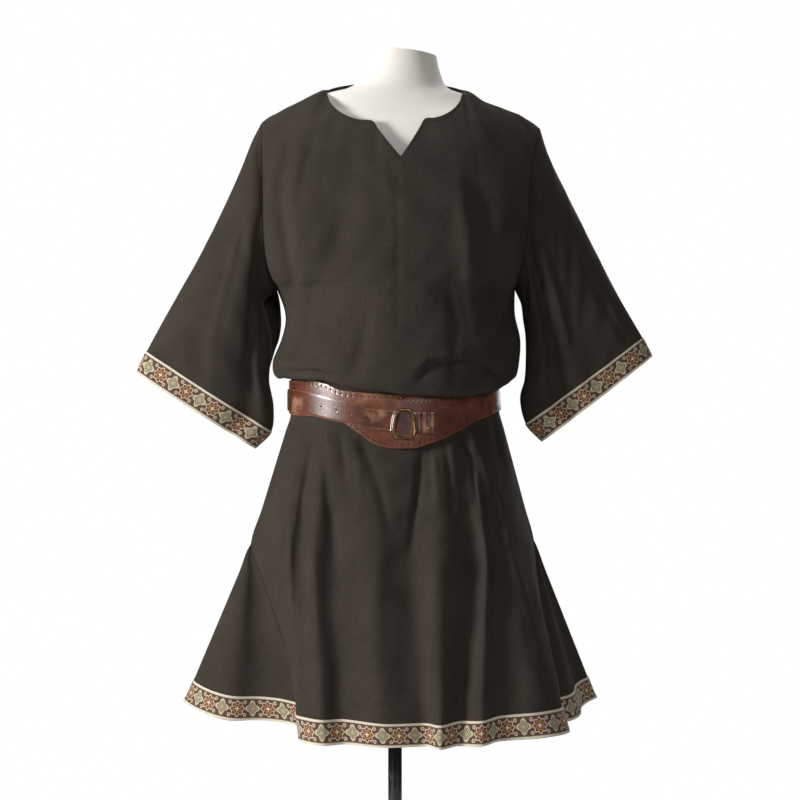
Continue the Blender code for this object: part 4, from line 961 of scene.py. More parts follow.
def fitted_gore(table, coarse_edges, fine_edges):
    """A gore made finer, with its sides laid on its neighbours' fine edges."""
    grid = relaxed(finer_panel(gore(table, *coarse_edges)), SMOOTHING_ROUNDS)
    rows = len(grid)
    share = np.linspace(0.0, 1.0, grid.shape[1])[None, :, None]
    first = fine_edges[0][:rows] - grid[:, 0]
    last = fine_edges[1][:rows] - grid[:, -1]
    return grid + (1.0 - share) * first[:, None] + share * last[:, None]


def fine_sleeve(side_name, sections, loop):
    rings = sleeve(side_name, sections, loop)
    finer = eased(rings, RING_STEPS)
    return np.concatenate([finer, finer[:, :1]], axis=1)


def sleeve_creased(side_name, grid):
    """The sleeve with creases that run along it, each between two shares of its length."""
    count = grid.shape[1] - 1
    normals = normals_of(grid)
    normals[:, 0] = normals[:, -1] = (normals[:, 0] + normals[:, -1]) / 2
    number = np.arange(count + 1) % count
    place = 1.0 - np.abs(number / count - 0.5) * 4.0
    climbing = number < count // 2
    on_front = climbing if side_name == "left" else ~climbing
    length = np.linspace(0.0, 1.0, len(grid))[:, None]
    lift = waves(grid)
    lift = lift * smooth((1.0 - np.abs(place))[None, :] / 0.2)
    for sleeve_name, side, start, end, since, until, half, rise in SLEEVE_CREASES:
        if sleeve_name != side_name:
            continue
        middle = start + (end - start) * (length - since) / (until - since)
        ends = smooth((length - since) / 0.15) * smooth((until - length) / 0.15)
        ridge = np.exp(-(((place[None, :] - middle) / half) ** 2))
        lift = lift + rise * ridge * ends * (on_front == (side == "front"))[None, :]
    lift = lift * smooth(length / 0.08)
    return grid + lift[..., None] * normals


def fine_garment():
    """Every cloth piece's fine outer points, meeting at the seams."""
    front_coarse, back_coarse = body_panel("front"), body_panel("back")
    front = relaxed(finer_panel(front_coarse), SMOOTHING_ROUNDS)
    back = relaxed(finer_panel(back_coarse), SMOOTHING_ROUNDS)
    apex = SKIRT_SHARES.index(APEX_SHARE) * ROW_STEPS
    armpit = (len(SKIRT_SHARES) + len(BODY_ROWS) - 1) * ROW_STEPS
    for front_column, back_column in ((0, -1), (-1, 0)):
        meet(front[apex + 1 : armpit + 1, front_column], back[apex + 1 : armpit + 1, back_column])
        meet(front[-1:, front_column], back[-1:, back_column])
    left_loop = armhole_loop(front[armpit:, 0], back[armpit:, -1], -1)
    right_loop = armhole_loop(front[armpit:, -1], back[armpit:, 0], 1)
    coarse = (front_coarse[:, -1], back_coarse[:, 0])
    right = fitted_gore(RIGHT_GORE, coarse, (front[:, -1], back[:, 0]))
    coarse = (back_coarse[:, -1], front_coarse[:, 0])
    left = fitted_gore(LEFT_GORE, coarse, (back[:, -1], front[:, 0]))
    return {
        "front": creased("front", front),
        "back": creased("back", back),
        "gore_right": right,
        "gore_left": left,
        "sleeve_left": sleeve_creased("left", fine_sleeve("left", LEFT_SLEEVE, left_loop)),
        "sleeve_right": sleeve_creased("right", fine_sleeve("right", RIGHT_SLEEVE, right_loop)),
    }


def cloth_maps(name, grid):
    """The cloth's own lengths, and the distances to its seams and to its neck edge."""
    across = run_along(grid, 1)
    up = run_along(grid, 0)
    threads = np.stack([across - across[:, -1:] / 2, up], axis=-1)
    if name.startswith("sleeve"):
        edge = np.stack([up, np.full_like(up, FAR)], axis=-1)
        return {"threads": threads, "edges": edge}
    seam = np.minimum(across, across[:, -1:] - across)
    top = up[-1:] - up
    neck = np.full_like(seam, FAR)
    spans = {"front": NECK_FRONT_SPAN, "back": NECK_BACK_SPAN}
    if name in spans:
        first, last = (column * COLUMN_STEPS for column in spans[name])
        neck[:, first : last + 1] = top[:, first : last + 1]
        seam[:, :first] = np.minimum(seam[:, :first], top[:, :first])
        seam[:, last + 1 :] = np.minimum(seam[:, last + 1 :], top[:, last + 1 :])
    return {"threads": threads, "edges": np.stack([seam, neck], axis=-1)}


def grid_mesh(name, grid, maps, closed=False):
    """A mesh of the grid's outer points, with UV maps in metres."""
    rows, columns = grid.shape[0] - 1, grid.shape[1] - 1
    data = bmesh.new()
    bmesh.ops.create_grid(data, x_segments=columns, y_segments=rows, size=1.0)
    mesh = bpy.data.meshes.new(name)
    data.to_mesh(mesh)
    data.free()
    flat = np.zeros(len(mesh.vertices) * 3, np.float32)
    mesh.vertices.foreach_get("co", flat)
    flat = flat.reshape(-1, 3)
    column = np.round((flat[:, 0] + 1.0) / 2 * columns).astype(int)
    row = np.round((flat[:, 1] + 1.0) / 2 * rows).astype(int)
    mesh.vertices.foreach_set("co", grid[row, column].astype(np.float32).ravel())
    corners = np.zeros(len(mesh.loops), np.int32)
    mesh.loops.foreach_get("vertex_index", corners)
    for title, values in maps.items():
        layer = mesh.uv_layers.new(name=title)
        layer.uv.foreach_set("vector", values[row, column][corners].astype(np.float32).ravel())
    if closed:
        data = bmesh.new()
        data.from_mesh(mesh)
        bmesh.ops.remove_doubles(data, verts=list(data.verts), dist=0.000001)
        data.to_mesh(mesh)
        data.free()
    mesh.shade_smooth()
    return mesh


def applied(piece, sharp_degrees=45.0):
    """Replaces the piece's mesh by what its modifiers make of it."""
    graph = bpy.context.evaluated_depsgraph_get()
    finished = bpy.data.meshes.new_from_object(
        piece.evaluated_get(graph), preserve_all_data_layers=True, depsgraph=graph
    )
    piece.modifiers.clear()
    piece.data = finished
    piece.data.name = piece.name
    finished.set_sharp_from_angle(angle=math.radians(sharp_degrees))
    return piece


def shown(name, mesh, material, stands_for=None):
    """A piece in the scene that rides with the part and stands for its solid."""
    mesh.materials.clear()
    mesh.materials.append(material)
    piece = bpy.data.objects.new(name, mesh)
    bpy.context.scene.collection.objects.link(piece)
    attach(piece, "root")
    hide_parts(stands_for or name)
    return piece


def add_wall(piece, thickness):
    wall = piece.modifiers.new("wall", "SOLIDIFY")
    wall.thickness = thickness
    wall.offset = -1.0


def add_cloth(finishes):
    """The panels, sleeves and braids."""
    grids = fine_garment()
    pieces = {}
    for name, grid in grids.items():
        outer = pulled_back(grid, SEAM_EDGES[name], SEWN_GAP)
        grids[name] = outer
        closed = name.startswith("sleeve")
        mesh = grid_mesh(name + "_cloth", outer, cloth_maps(name, outer), closed)
        pieces[name] = shown(name + "_cloth", mesh, finishes["cloth"], name)
        add_wall(pieces[name], CLOTH)
        applied(pieces[name])
    for name, (panel, end) in BRAIDS.items():
        steps = RING_STEPS if panel.startswith("sleeve") else ROW_STEPS
        rows = slice(0, steps + 1) if end == "first" else slice(-steps - 1, None)
        grid = grids[panel]
        over = (grid + (REST_GAP + BRAID) * normals_of(grid))[rows]
        closed = panel.startswith("sleeve")
        if closed:
            over[:, 0] = over[:, -1] = (over[:, 0] + over[:, -1]) / 2
        length = run_along(over, 1)
        length = np.broadcast_to(length.mean(axis=0), length.shape)
        width = np.linspace(0.0, BRAID_WIDTH, steps + 1)[:, None]
        along = np.stack([length, np.broadcast_to(width, length.shape)], axis=-1)
        mesh = grid_mesh(name + "_woven", over, {"braid": along}, closed)
        pieces[name] = shown(name + "_woven", mesh, finishes["braid"], name)
        add_wall(pieces[name], BRAID)
        applied(pieces[name])
    for name, piece in pieces.items():
        width, length, area = CUTS[name]
    return pieces


# The belt's punched holes
HOLE_RADIUS = 0.0021
HOLE_PITCH = 0.0090
HOLE_INSET = 0.0055
BAND_MIDDLE_ROWS = 6
TONGUE_HOLES = (-0.1388, -0.1156, -0.0909, -0.0680, -0.0430)
TONGUE_ROW_SHARES = (-1.0, -0.75, -0.5, -0.25, 0.0, 0.25, 0.5, 0.75, 1.0)
LEATHER_ROUND = 0.0005


def punched(mesh, picked):
    """The mesh with a round hole of the belt's size at each picked vertex."""
    data = bmesh.new()
    data.from_mesh(mesh)
    data.verts.ensure_lookup_table()
    corners = [data.verts[int(number)] for number in picked]
    made = bmesh.ops.bevel(
        data,
        geom=corners,
        offset=HOLE_RADIUS,
        offset_type="OFFSET",
        segments=3,
        profile=0.5,
        affect="VERTICES",
        material=-1,
    )
    bmesh.ops.delete(data, geom=made["faces"], context="FACES")
    data.to_mesh(mesh)
    data.free()
    mesh.shade_smooth()
    return mesh


def vertex_numbers(mesh, grid, places):
    """The mesh's vertices that lie on the grid's points at the given rows and columns."""
    points = np.zeros(len(mesh.vertices) * 3, np.float32)
    mesh.vertices.foreach_get("co", points)
    points = points.reshape(-1, 3)
    found = []
    for row, column in places:
        found.append(int(np.argmin(np.linalg.norm(points - grid[row, column], axis=1))))
    return found


def round_edges(piece, width):
    edges = piece.modifiers.new("edges", "BEVEL")
    edges.width = width
    edges.segments = 2
    edges.limit_method = "ANGLE"
    edges.angle_limit = math.radians(60)


def band_angles():
    """Angles along the band, evenly spaced in length, two to each hole."""
    dense = np.linspace(OUTER_END, 360.0 + INNER_END, 2000)
    x, y = waist_point(dense, LAP_OFFSET)
    length = np.concatenate([[0.0], np.cumsum(np.hypot(np.diff(x), np.diff(y)))])
    count = 2 * int(round(length[-1] / HOLE_PITCH))
    even = np.linspace(0.0, length[-1], count + 1)
    return np.interp(even, length, dense), even


def add_band(finishes):
    """The shaped band with a row of holes along each edge."""
    angles, length = band_angles()
    wrapped = np.where(angles > 180.0, angles - 360.0, angles)
    top = belt_edge(wrapped, BELT_TOP)
    height = top - belt_edge(wrapped, BELT_LOW)
    middle = np.linspace(0.0, 1.0, BAND_MIDDLE_ROWS + 2)[:, None]
    inset = HOLE_INSET / height
    down = inset + (1.0 - 2.0 * inset) * middle
    down = np.concatenate([np.zeros((1, len(angles))), down, np.ones((1, len(angles)))])
    down = down[::-1]
    across = np.linspace(0.0, 1.0, len(angles))
    top_cut = END_ROUND_TOP * np.maximum(1.0 - down / END_ROUND_TOP_SHARE, 0.0) ** 2
    low_cut = END_ROUND_LOW * np.maximum(1.0 - (1.0 - down) / END_ROUND_LOW_SHARE, 0.0) ** 2
    cut = np.degrees((top_cut + low_cut) / WAIST_HALF_WIDTH)
    moved = angles[None, :] + cut * (1.0 - smooth(across / END_SHARE))[None, :]
    turned = np.where(moved > 180.0, moved - 360.0, moved)
    off = np.where(moved < 180.0, lap_off(moved), BELT_GAP) + LEATHER
    x, y = waist_point(turned, off)
    edge = belt_edge(turned, BELT_TOP)
    z = edge + (belt_edge(turned, BELT_LOW) - edge) * down
    grid = np.stack([x, y, z], axis=-1)
    side = np.minimum(down, 1.0 - down) * height
    maps = {"leather": np.stack([np.broadcast_to(length, side.shape), side], axis=-1)}
    mesh = grid_mesh("belt_band_leather", grid, maps)
    last = len(angles) - 2
    places = [(row, column) for row in (1, len(down) - 2) for column in range(2, last, 2)]
    punched(mesh, vertex_numbers(mesh, grid, places))
    piece = shown("belt_band_leather", mesh, finishes["band"], "belt_band")
    add_wall(piece, LEATHER)
    round_edges(piece, LEATHER_ROUND)
    return applied(piece, 50.0)


def add_tongue(finishes):
    """The strap: a point at its tip, five holes, and its other end curled round the bar."""
    path = tongue_path()
    along = np.gradient(path, axis=0)
    side = np.stack([along[:, 1], -along[:, 0]], axis=1)
    side = side / np.linalg.norm(side, axis=1, keepdims=True)
    place = np.degrees(np.arcsin(np.clip(path[:, 0] / WAIST_HALF_WIDTH, -1.0, 1.0)))
    middle = curve_through(column_of(TONGUE_LINE, 0), column_of(TONGUE_LINE, 1), place)
    length = np.concatenate([[0.0], np.cumsum(np.linalg.norm(np.diff(path, axis=0), axis=1))])
    blunt = np.sqrt(1.0 - (1.0 - np.clip(length / TONGUE_POINT, 0.0, 1.0)) ** 2)
    half = TONGUE_HALF * np.maximum(blunt, TONGUE_BLUNT)
    half = half - (TONGUE_HALF - TONGUE_END_HALF) * smooth(
        (place - TONGUE_NARROW[0]) / TONGUE_NARROW[1]
    )
    held = smooth((place - TONGUE_LEAN[0]) / TONGUE_LEAN[1])
    rows = []
    for share in TONGUE_ROW_SHARES:
        z = middle + half * share
        lean = np.array([bar_x(height) for height in z]) - bar_x(RING_CENTRE[1])
        x = path[:, 0] + STRAP / 2 * side[:, 0] + lean * held
        rows.append(np.stack([x, path[:, 1] + STRAP / 2 * side[:, 1], z], axis=1))
    grid = np.array(rows)
    distance = half[None, :] * (1.0 - np.abs(np.array(TONGUE_ROW_SHARES)))[:, None]
    maps = {"leather": np.stack([np.broadcast_to(length, distance.shape), distance], axis=-1)}
    mesh = grid_mesh("belt_tongue_leather", grid, maps)
    centre = len(TONGUE_ROW_SHARES) // 2
    flat = TONGUE_COLUMNS
    places = [(centre, int(np.argmin(np.abs(grid[centre, :flat, 0] - x)))) for x in TONGUE_HOLES]
    punched(mesh, vertex_numbers(mesh, grid, places))
    piece = shown("belt_tongue_leather", mesh, finishes["strap"], "belt_tongue")
    add_wall(piece, STRAP)
    round_edges(piece, LEATHER_ROUND)
    return applied(piece, 50.0)


def add_ring(finishes):
    """The ring, a closed wire."""
    curve = bpy.data.curves.new("ring_wire", "CURVE")
    curve.dimensions = "3D"
    curve.bevel_depth = WIRE_RADIUS
    curve.bevel_resolution = 6
    spline = curve.splines.new("POLY")
    spline.points.add(RING_POINTS - 1)
    for number, point in enumerate(spline.points):
        point.co = (*ring_point(2.0 * math.pi * number / RING_POINTS), 1.0)
    spline.use_cyclic_u = True
    wire = bpy.data.objects.new("ring_wire", curve)
    bpy.context.scene.collection.objects.link(wire)
    graph = bpy.context.evaluated_depsgraph_get()
    mesh = bpy.data.meshes.new_from_object(wire.evaluated_get(graph))
    bpy.data.objects.remove(wire)
    mesh.shade_smooth()
    return shown("belt_ring_wire", mesh, finishes["brass"], "belt_ring")


# The tab's folds: place across and rise
TAB_FOLDS = ((0.0385, 0.0006), (0.0430, -0.0008), (0.0475, 0.0007), (0.0560, -0.0005))
TAB_FOLD_HALF = 0.0016
TAB_ROWS = 10
TAB_STEPS = 5


def add_tab(finishes):
    """The tab that holds the ring, with its pinched folds."""
    seat = BELT_GAP + LAP_OFFSET + LEATHER + REST_GAP
    stations = np.array(TAB_STATIONS)
    thick = np.where(stations < TAB_STEP, TAB_BACK_LAYER, TAB_FULL)
    across = np.interp(
        np.linspace(0, len(stations) - 1, (len(stations) - 1) * TAB_STEPS + 1),
        np.arange(len(stations)),
        stations,
    )
    extra = np.interp(across, stations, thick)
    for place, rise in TAB_FOLDS:
        extra = extra + rise * np.exp(-(((across - place) / TAB_FOLD_HALF) ** 2))
    heights = np.linspace(TAB_LOW, TAB_HIGH, TAB_ROWS + 1)
    y = np.array([float(waist_y_at(x, seat + e)) for x, e in zip(across, extra)])
    grid = np.array([np.stack([across, y, np.full_like(y, h)], axis=1) for h in heights])
    inside = np.minimum(heights - TAB_LOW, TAB_HIGH - heights)[:, None]
    side = np.minimum(inside, np.minimum(across - across[0], across[-1] - across)[None, :])
    length = np.broadcast_to(across, side.shape)
    mesh = grid_mesh("belt_tab_leather", grid, {"leather": np.stack([length, side], axis=-1)})
    piece = shown("belt_tab_leather", mesh, finishes["strap"], "belt_tab")
    add_wall(piece, TAB_BACK_LAYER)
    round_edges(piece, LEATHER_ROUND)
    return applied(piece, 50.0)


def add_rivet(finishes):
    """A low dome on the tab."""
    x, z = RIVET_PLACE
    seat = BELT_GAP + LAP_OFFSET + LEATHER + REST_GAP + TAB_FULL
    y = float(waist_y_at(x, seat + REST_GAP))
    data = bmesh.new()
    made = bmesh.ops.create_uvsphere(data, u_segments=24, v_segments=16, radius=RIVET_RADIUS)
    bmesh.ops.bisect_plane(
        data,
        geom=list(data.verts) + list(data.edges) + list(data.faces),
        plane_co=(0.0, 0.0, 0.0),
        plane_no=(0.0, 1.0, 0.0),
        clear_outer=True,
    )
    bmesh.ops.holes_fill(data, edges=[edge for edge in data.edges if edge.is_boundary])
    for vertex in data.verts:
        vertex.co.y = vertex.co.y * RIVET_HEIGHT / RIVET_RADIUS
    bmesh.ops.translate(data, verts=list(data.verts), vec=(x, y - REST_GAP, z))
    bmesh.ops.recalc_face_normals(data, faces=list(data.faces))
    mesh = bpy.data.meshes.new("belt_rivet_dome")
    data.to_mesh(mesh)
    data.free()
    mesh.shade_smooth()
    mesh.set_sharp_from_angle(angle=math.radians(50))
    return shown("belt_rivet_dome", mesh, finishes["brass"], "belt_rivet")


# How finely the form and the turned stand are built, and the rounding of the stand's edges
FORM_ROUND = 96
FORM_STEPS = 5
TURNED_STEPS = 96
TURNED_ROUND = 0.0008


def add_form(finishes):
    """The dress form: a ball whose rings take the form's sections, made finer."""
    sections = eased(np.array(FORM_SECTIONS), FORM_STEPS)
    count = len(sections)
    data = bmesh.new()
    ball = bmesh.ops.create_uvsphere(
        data, u_segments=FORM_ROUND, v_segments=count + 1, radius=1.0
    )
    low, high = sections[0], sections[-1]
    for vertex in ball["verts"]:
        level = math.acos(max(-1.0, min(1.0, -vertex.co.z))) / math.pi * (count + 1)
        ring = round(level) - 1
        if ring < 0:
            vertex.co = (0.0, 0.0, low[0])
            continue
        if ring >= count:
            vertex.co = ((high[2] - high[1]) / 2, 0.0, high[0])
            continue
        turn = math.atan2(vertex.co.y, vertex.co.x)
        z, left, right, front, back = sections[ring]
        middle = (right - left) / 2
        half = (right + left) / 2
        depth = front if math.sin(turn) < 0 else back
        tilt = FORM_TOP_TILT * smooth((z - NECK_TILT_FROM) / (high[0] - NECK_TILT_FROM))
        x = middle + half * math.cos(turn)
        vertex.co = (x, depth * math.sin(turn), z - tilt * math.cos(turn))
    bmesh.ops.recalc_face_normals(data, faces=list(data.faces))
    mesh = bpy.data.meshes.new("form_cover")
    data.to_mesh(mesh)
    data.free()
    mesh.shade_smooth()
    mesh.set_sharp_from_angle(angle=math.radians(40))
    return shown("form_cover", mesh, finishes["form"], "form_torso")


def turned(name, profile, finish, stands_for):
    """A turned piece from its profile, which runs down the outer side from the top."""
    data = bmesh.new()
    points = [data.verts.new((radius, 0.0, z)) for radius, z in profile]
    for pair in zip(points, points[1:]):
        data.edges.new(pair)
    bmesh.ops.bevel(
        data,
        geom=points[1:-1],
        offset=TURNED_ROUND,
        segments=2,
        profile=0.5,
        affect="VERTICES",
        material=-1,
    )
    bmesh.ops.spin(
        data,
        geom=list(data.verts) + list(data.edges),
        axis=(0.0, 0.0, 1.0),
        cent=(0.0, 0.0, 0.0),
        angle=2.0 * math.pi,
        steps=TURNED_STEPS,
        use_merge=True,
    )
    bmesh.ops.remove_doubles(data, verts=list(data.verts), dist=0.00001)
    bmesh.ops.recalc_face_normals(data, faces=list(data.faces))
    mesh = bpy.data.meshes.new(name)
    data.to_mesh(mesh)
    data.free()
    mesh.shade_smooth()
    mesh.set_sharp_from_angle(angle=math.radians(40))
    return shown(name, mesh, finish, stands_for)


def add_stand(finishes):
    collar_top = BASE_THICK + COLLAR_HEIGHT
    base = (
        (0.0, collar_top),
        (COLLAR_RADIUS, collar_top),
        (COLLAR_RADIUS, BASE_THICK),
        (BASE_RADIUS, BASE_THICK - BASE_FALL),
        (BASE_RADIUS, 0.0),
        (0.0, 0.0),
    )
    turned("base_plate", base, finishes["paint"], "stand_base")
    pole_low = collar_top + REST_GAP
    pole_high = FORM_SECTIONS[0][0] - REST_GAP
    pole = ((0.0, pole_high), (POLE_RADIUS, pole_high), (POLE_RADIUS, pole_low), (0.0, pole_low))
    turned("pole_tube", pole, finishes["paint"], "stand_pole")


class Wiring:
    """Short ways to add shader nodes to one tree and to join them."""

    def __init__(self, tree):
        self.tree = tree

    def add(self, kind, inputs=None, **settings):
        node = self.tree.nodes.new(kind)
        for title, value in settings.items():
            setattr(node, title, value)
        for socket, value in (inputs or {}).items():
            self.put(node.inputs[socket], value)
        return node

    def put(self, socket, value):
        if isinstance(value, bpy.types.NodeSocket):
            self.tree.links.new(value, socket)
        else:
            socket.default_value = value

    def math(self, operation, *values, clamp=False):
        inputs = dict(enumerate(values))
        node = self.add("ShaderNodeMath", inputs, operation=operation, use_clamp=clamp)
        return node.outputs[0]

    def length(self, across, up):
        """How far a point is from the middle, from its two distances."""
        up_squared = self.math("MULTIPLY", up, up)
        return self.math("SQRT", self.math("MULTIPLY_ADD", across, across, up_squared))

    def crossed(self, long_side, short_side):
        """A short bar: 1 within its half length one way and its half width the other."""
        inside = self.step(short_side, BAR_RIM[1], BAR[1])
        return self.math("MULTIPLY", inside, self.step(long_side, BAR_RIM[0], BAR[0]))

    def mix(self, share, first, second, blend="MIX"):
        node = self.add("ShaderNodeMix", data_type="RGBA", blend_type=blend)
        self.put(node.inputs[0], share)
        self.put(node.inputs[6], first)
        self.put(node.inputs[7], second)
        return node.outputs[2]

    def noise(self, place, scale, detail=3.0, roughness=0.55):
        inputs = {"Vector": place, "Scale": scale, "Detail": detail, "Roughness": roughness}
        return self.add("ShaderNodeTexNoise", inputs).outputs["Fac"]

    def step(self, value, low, high):
        """0 under low and 1 over high, with a soft change between."""
        inputs = {"Value": value, "From Min": low, "From Max": high}
        node = self.add("ShaderNodeMapRange", inputs, interpolation_type="SMOOTHSTEP")
        return node.outputs[0]

    def band(self, value, middle, half, soft):
        """1 where a value is within half of middle, with soft edges."""
        away = self.math("ABSOLUTE", self.math("SUBTRACT", value, middle))
        return self.step(away, half + soft, half)

    def stretched(self, place, scale):
        inputs = {"Vector": place, "Scale": scale}
        return self.add("ShaderNodeMapping", inputs).outputs[0]

    def uv(self, title):
        return self.add("ShaderNodeUVMap", uv_map=title).outputs[0]

    def in_object(self):
        return self.add("ShaderNodeTexCoord").outputs["Object"]

    def use(self, group, **inputs):
        node = self.tree.nodes.new("ShaderNodeGroup")
        node.node_tree = group
        for title, value in inputs.items():
            self.put(node.inputs[title.replace("_", " ")], value)
        return node

    def bump(self, height, distance, strength=1.0):
        inputs = {"Height": height, "Distance": distance, "Strength": strength}
        return self.add("ShaderNodeBump", inputs).outputs[0]


def srgb(red, green, blue):
    """A colour given by its values on a screen, as the renderer's own values."""
    parts = []
    for value in (red, green, blue):
        share = value / 255.0
        low = share / 12.92
        parts.append(low if share <= 0.04045 else ((share + 0.055) / 1.055) ** 2.4)
    return (*parts, 1.0)


def new_group(name, inputs, outputs):
    """An empty node group with named sockets, and its wiring."""
    group = bpy.data.node_groups.new(name, "ShaderNodeTree")
    for title, kind, value in inputs:
        socket = group.interface.new_socket(name=title, in_out="INPUT", socket_type=kind)
        if value is not None:
            socket.default_value = value
    for title, kind in outputs:
        group.interface.new_socket(name=title, in_out="OUTPUT", socket_type=kind)
    wiring = Wiring(group)
    source = group.nodes.new("NodeGroupInput")
    target = group.nodes.new("NodeGroupOutput")
    return group, wiring, source.outputs, target.inputs


NUMBER = "NodeSocketFloat"
VECTOR = "NodeSocketVector"


def slub_group():
    """A plain weave of uneven threads: its height, and its lighter and darker threads."""
    inputs = (("Vector", VECTOR, None), ("Threads", NUMBER, 900.0), ("Slub", NUMBER, 1.0))
    outputs = (("Height", NUMBER), ("Tone", NUMBER))
    group, wires, given, out = new_group("slub_weave", inputs, outputs)
    place = given["Vector"]
    warp = wires.noise(wires.stretched(place, (900.0, 45.0, 1.0)), 1.0, 2.0)
    weft = wires.noise(wires.stretched(place, (45.0, 900.0, 1.0)), 1.0, 2.0)
    lines = wires.math("ADD", warp, weft)
    split = wires.add("ShaderNodeSeparateXYZ", {0: place}).outputs
    over = wires.math("SINE", wires.math("MULTIPLY", split[0], given["Threads"]))
    under = wires.math("SINE", wires.math("MULTIPLY", split[1], given["Threads"]))
    checks = wires.math("MULTIPLY", wires.math("MULTIPLY", over, under), 0.25)
    height = wires.math("ADD", wires.math("MULTIPLY", lines, given["Slub"]), checks)
    wires.put(out["Height"], height)
    wires.put(out["Tone"], wires.math("SUBTRACT", lines, 1.0))
    return group


def grain_group():
    """Leather's pebbled grain, fine scratches and cloudy wear, from the part's own place."""
    inputs = (("Vector", VECTOR, None), ("Grain", NUMBER, 900.0))
    outputs = (("Height", NUMBER), ("Clouds", NUMBER), ("Scratches", NUMBER))
    group, wires, given, out = new_group("leather_grain", inputs, outputs)
    place = given["Vector"]
    cells = wires.add(
        "ShaderNodeTexVoronoi", {"Vector": place, "Scale": given["Grain"]}, feature="F1"
    ).outputs["Distance"]
    fine = wires.noise(place, 1600.0, 2.0)
    wires.put(out["Height"], wires.math("MULTIPLY_ADD", fine, 0.5, cells))
    clouds = wires.noise(place, 38.0, 5.0, 0.62)
    wires.put(out["Clouds"], wires.step(clouds, 0.34, 0.68))
    slanted = wires.stretched(place, (60.0, 60.0, 900.0))
    streak = wires.noise(slanted, 1.0, 3.0)
    broken = wires.noise(place, 55.0, 2.0)
    lines = wires.step(streak, 0.62, 0.70)
    wires.put(out["Scratches"], wires.math("MULTIPLY", lines, wires.step(broken, 0.50, 0.62)))
    return group


def new_finish(name):
    material = bpy.data.materials.new(name)
    material.use_nodes = True
    wires = Wiring(material.node_tree)
    shader = material.node_tree.nodes["Principled BSDF"]
    return material, wires, shader


CLOTH_LIT = (68, 61, 54)
CLOTH_DARK = (50, 44, 38)
SEAM_TONE = (34, 30, 25)


def cloth_finish(slub):
    """Charcoal wool, plain woven: uneven threads, a soft nap, felled seams, a stitched neck."""
    material, wires, shader = new_finish("charcoal_wool")
    threads = wires.uv("threads")
    weave = wires.use(slub, Vector=threads, Threads=5200.0, Slub=1.0).outputs
    edges = wires.add("ShaderNodeSeparateXYZ", {0: wires.uv("edges")}).outputs
    cloudy = wires.noise(wires.in_object(), 14.0, 4.0)
    tone = wires.math("MULTIPLY_ADD", weave["Tone"], 1.3, cloudy, clamp=True)
    colour = wires.mix(tone, srgb(*CLOTH_DARK), srgb(*CLOTH_LIT))
    fibres = wires.noise(wires.stretched(threads, (260.0, 1500.0, 1.0)), 1.0, 1.0)
    pale = wires.step(fibres, 0.70, 0.80)
    colour = wires.mix(wires.math("MULTIPLY", pale, 0.15), colour, srgb(104, 98, 88))
    seam = wires.step(edges[0], 0.0016, 0.0002)
    colour = wires.mix(wires.math("MULTIPLY", seam, 0.75), colour, srgb(*SEAM_TONE))
    stitch = wires.band(edges[1], 0.0062, 0.0004, 0.0004)
    colour = wires.mix(wires.math("MULTIPLY", stitch, 0.45), colour, srgb(*SEAM_TONE))
    wires.put(shader.inputs["Base Color"], colour)
    shader.inputs["Roughness"].default_value = 0.92
    shader.inputs["Specular IOR Level"].default_value = 0.18
    shader.inputs["Sheen Weight"].default_value = 0.06
    shader.inputs["Sheen Roughness"].default_value = 0.5
    shader.inputs["Sheen Tint"].default_value = srgb(150, 140, 125)
    felled = wires.step(edges[0], 0.0095, 0.0075)
    turned_in = wires.step(edges[1], 0.0095, 0.0080)
    raised = wires.math("MAXIMUM", felled, turned_in)
    sewn = wires.math("SUBTRACT", raised, wires.math("MULTIPLY", stitch, 0.8))
    sewn = wires.math("SUBTRACT", sewn, seam)
    layers = wires.bump(sewn, 0.0006)
    threads_bump = wires.add(
        "ShaderNodeBump", {"Height": weave["Height"], "Distance": 0.00035, "Normal": layers}
    )
    wires.put(shader.inputs["Normal"], threads_bump.outputs[0])
    return material


# The braid's repeat and its motifs, in metres
BRAID_REPEAT = 0.050
ROSETTE = (0.0102, 0.0013)
LOZENGE = (0.0098, 0.0022)
TENDRIL = (0.0125, 0.0094, 0.0021)
EDGE_LINE = 0.0138
BAR = (0.0034, 0.0008)
BAR_RIM = (0.0038, 0.0011)
TICK_PITCH = 0.0030
CREAM = (232, 222, 200)
GROUND = (92, 60, 44)
RUST = (120, 66, 42)
GOLD = (190, 154, 80)
GREY_GREEN = (200, 196, 165)
PINK_CREAM = (238, 214, 188)


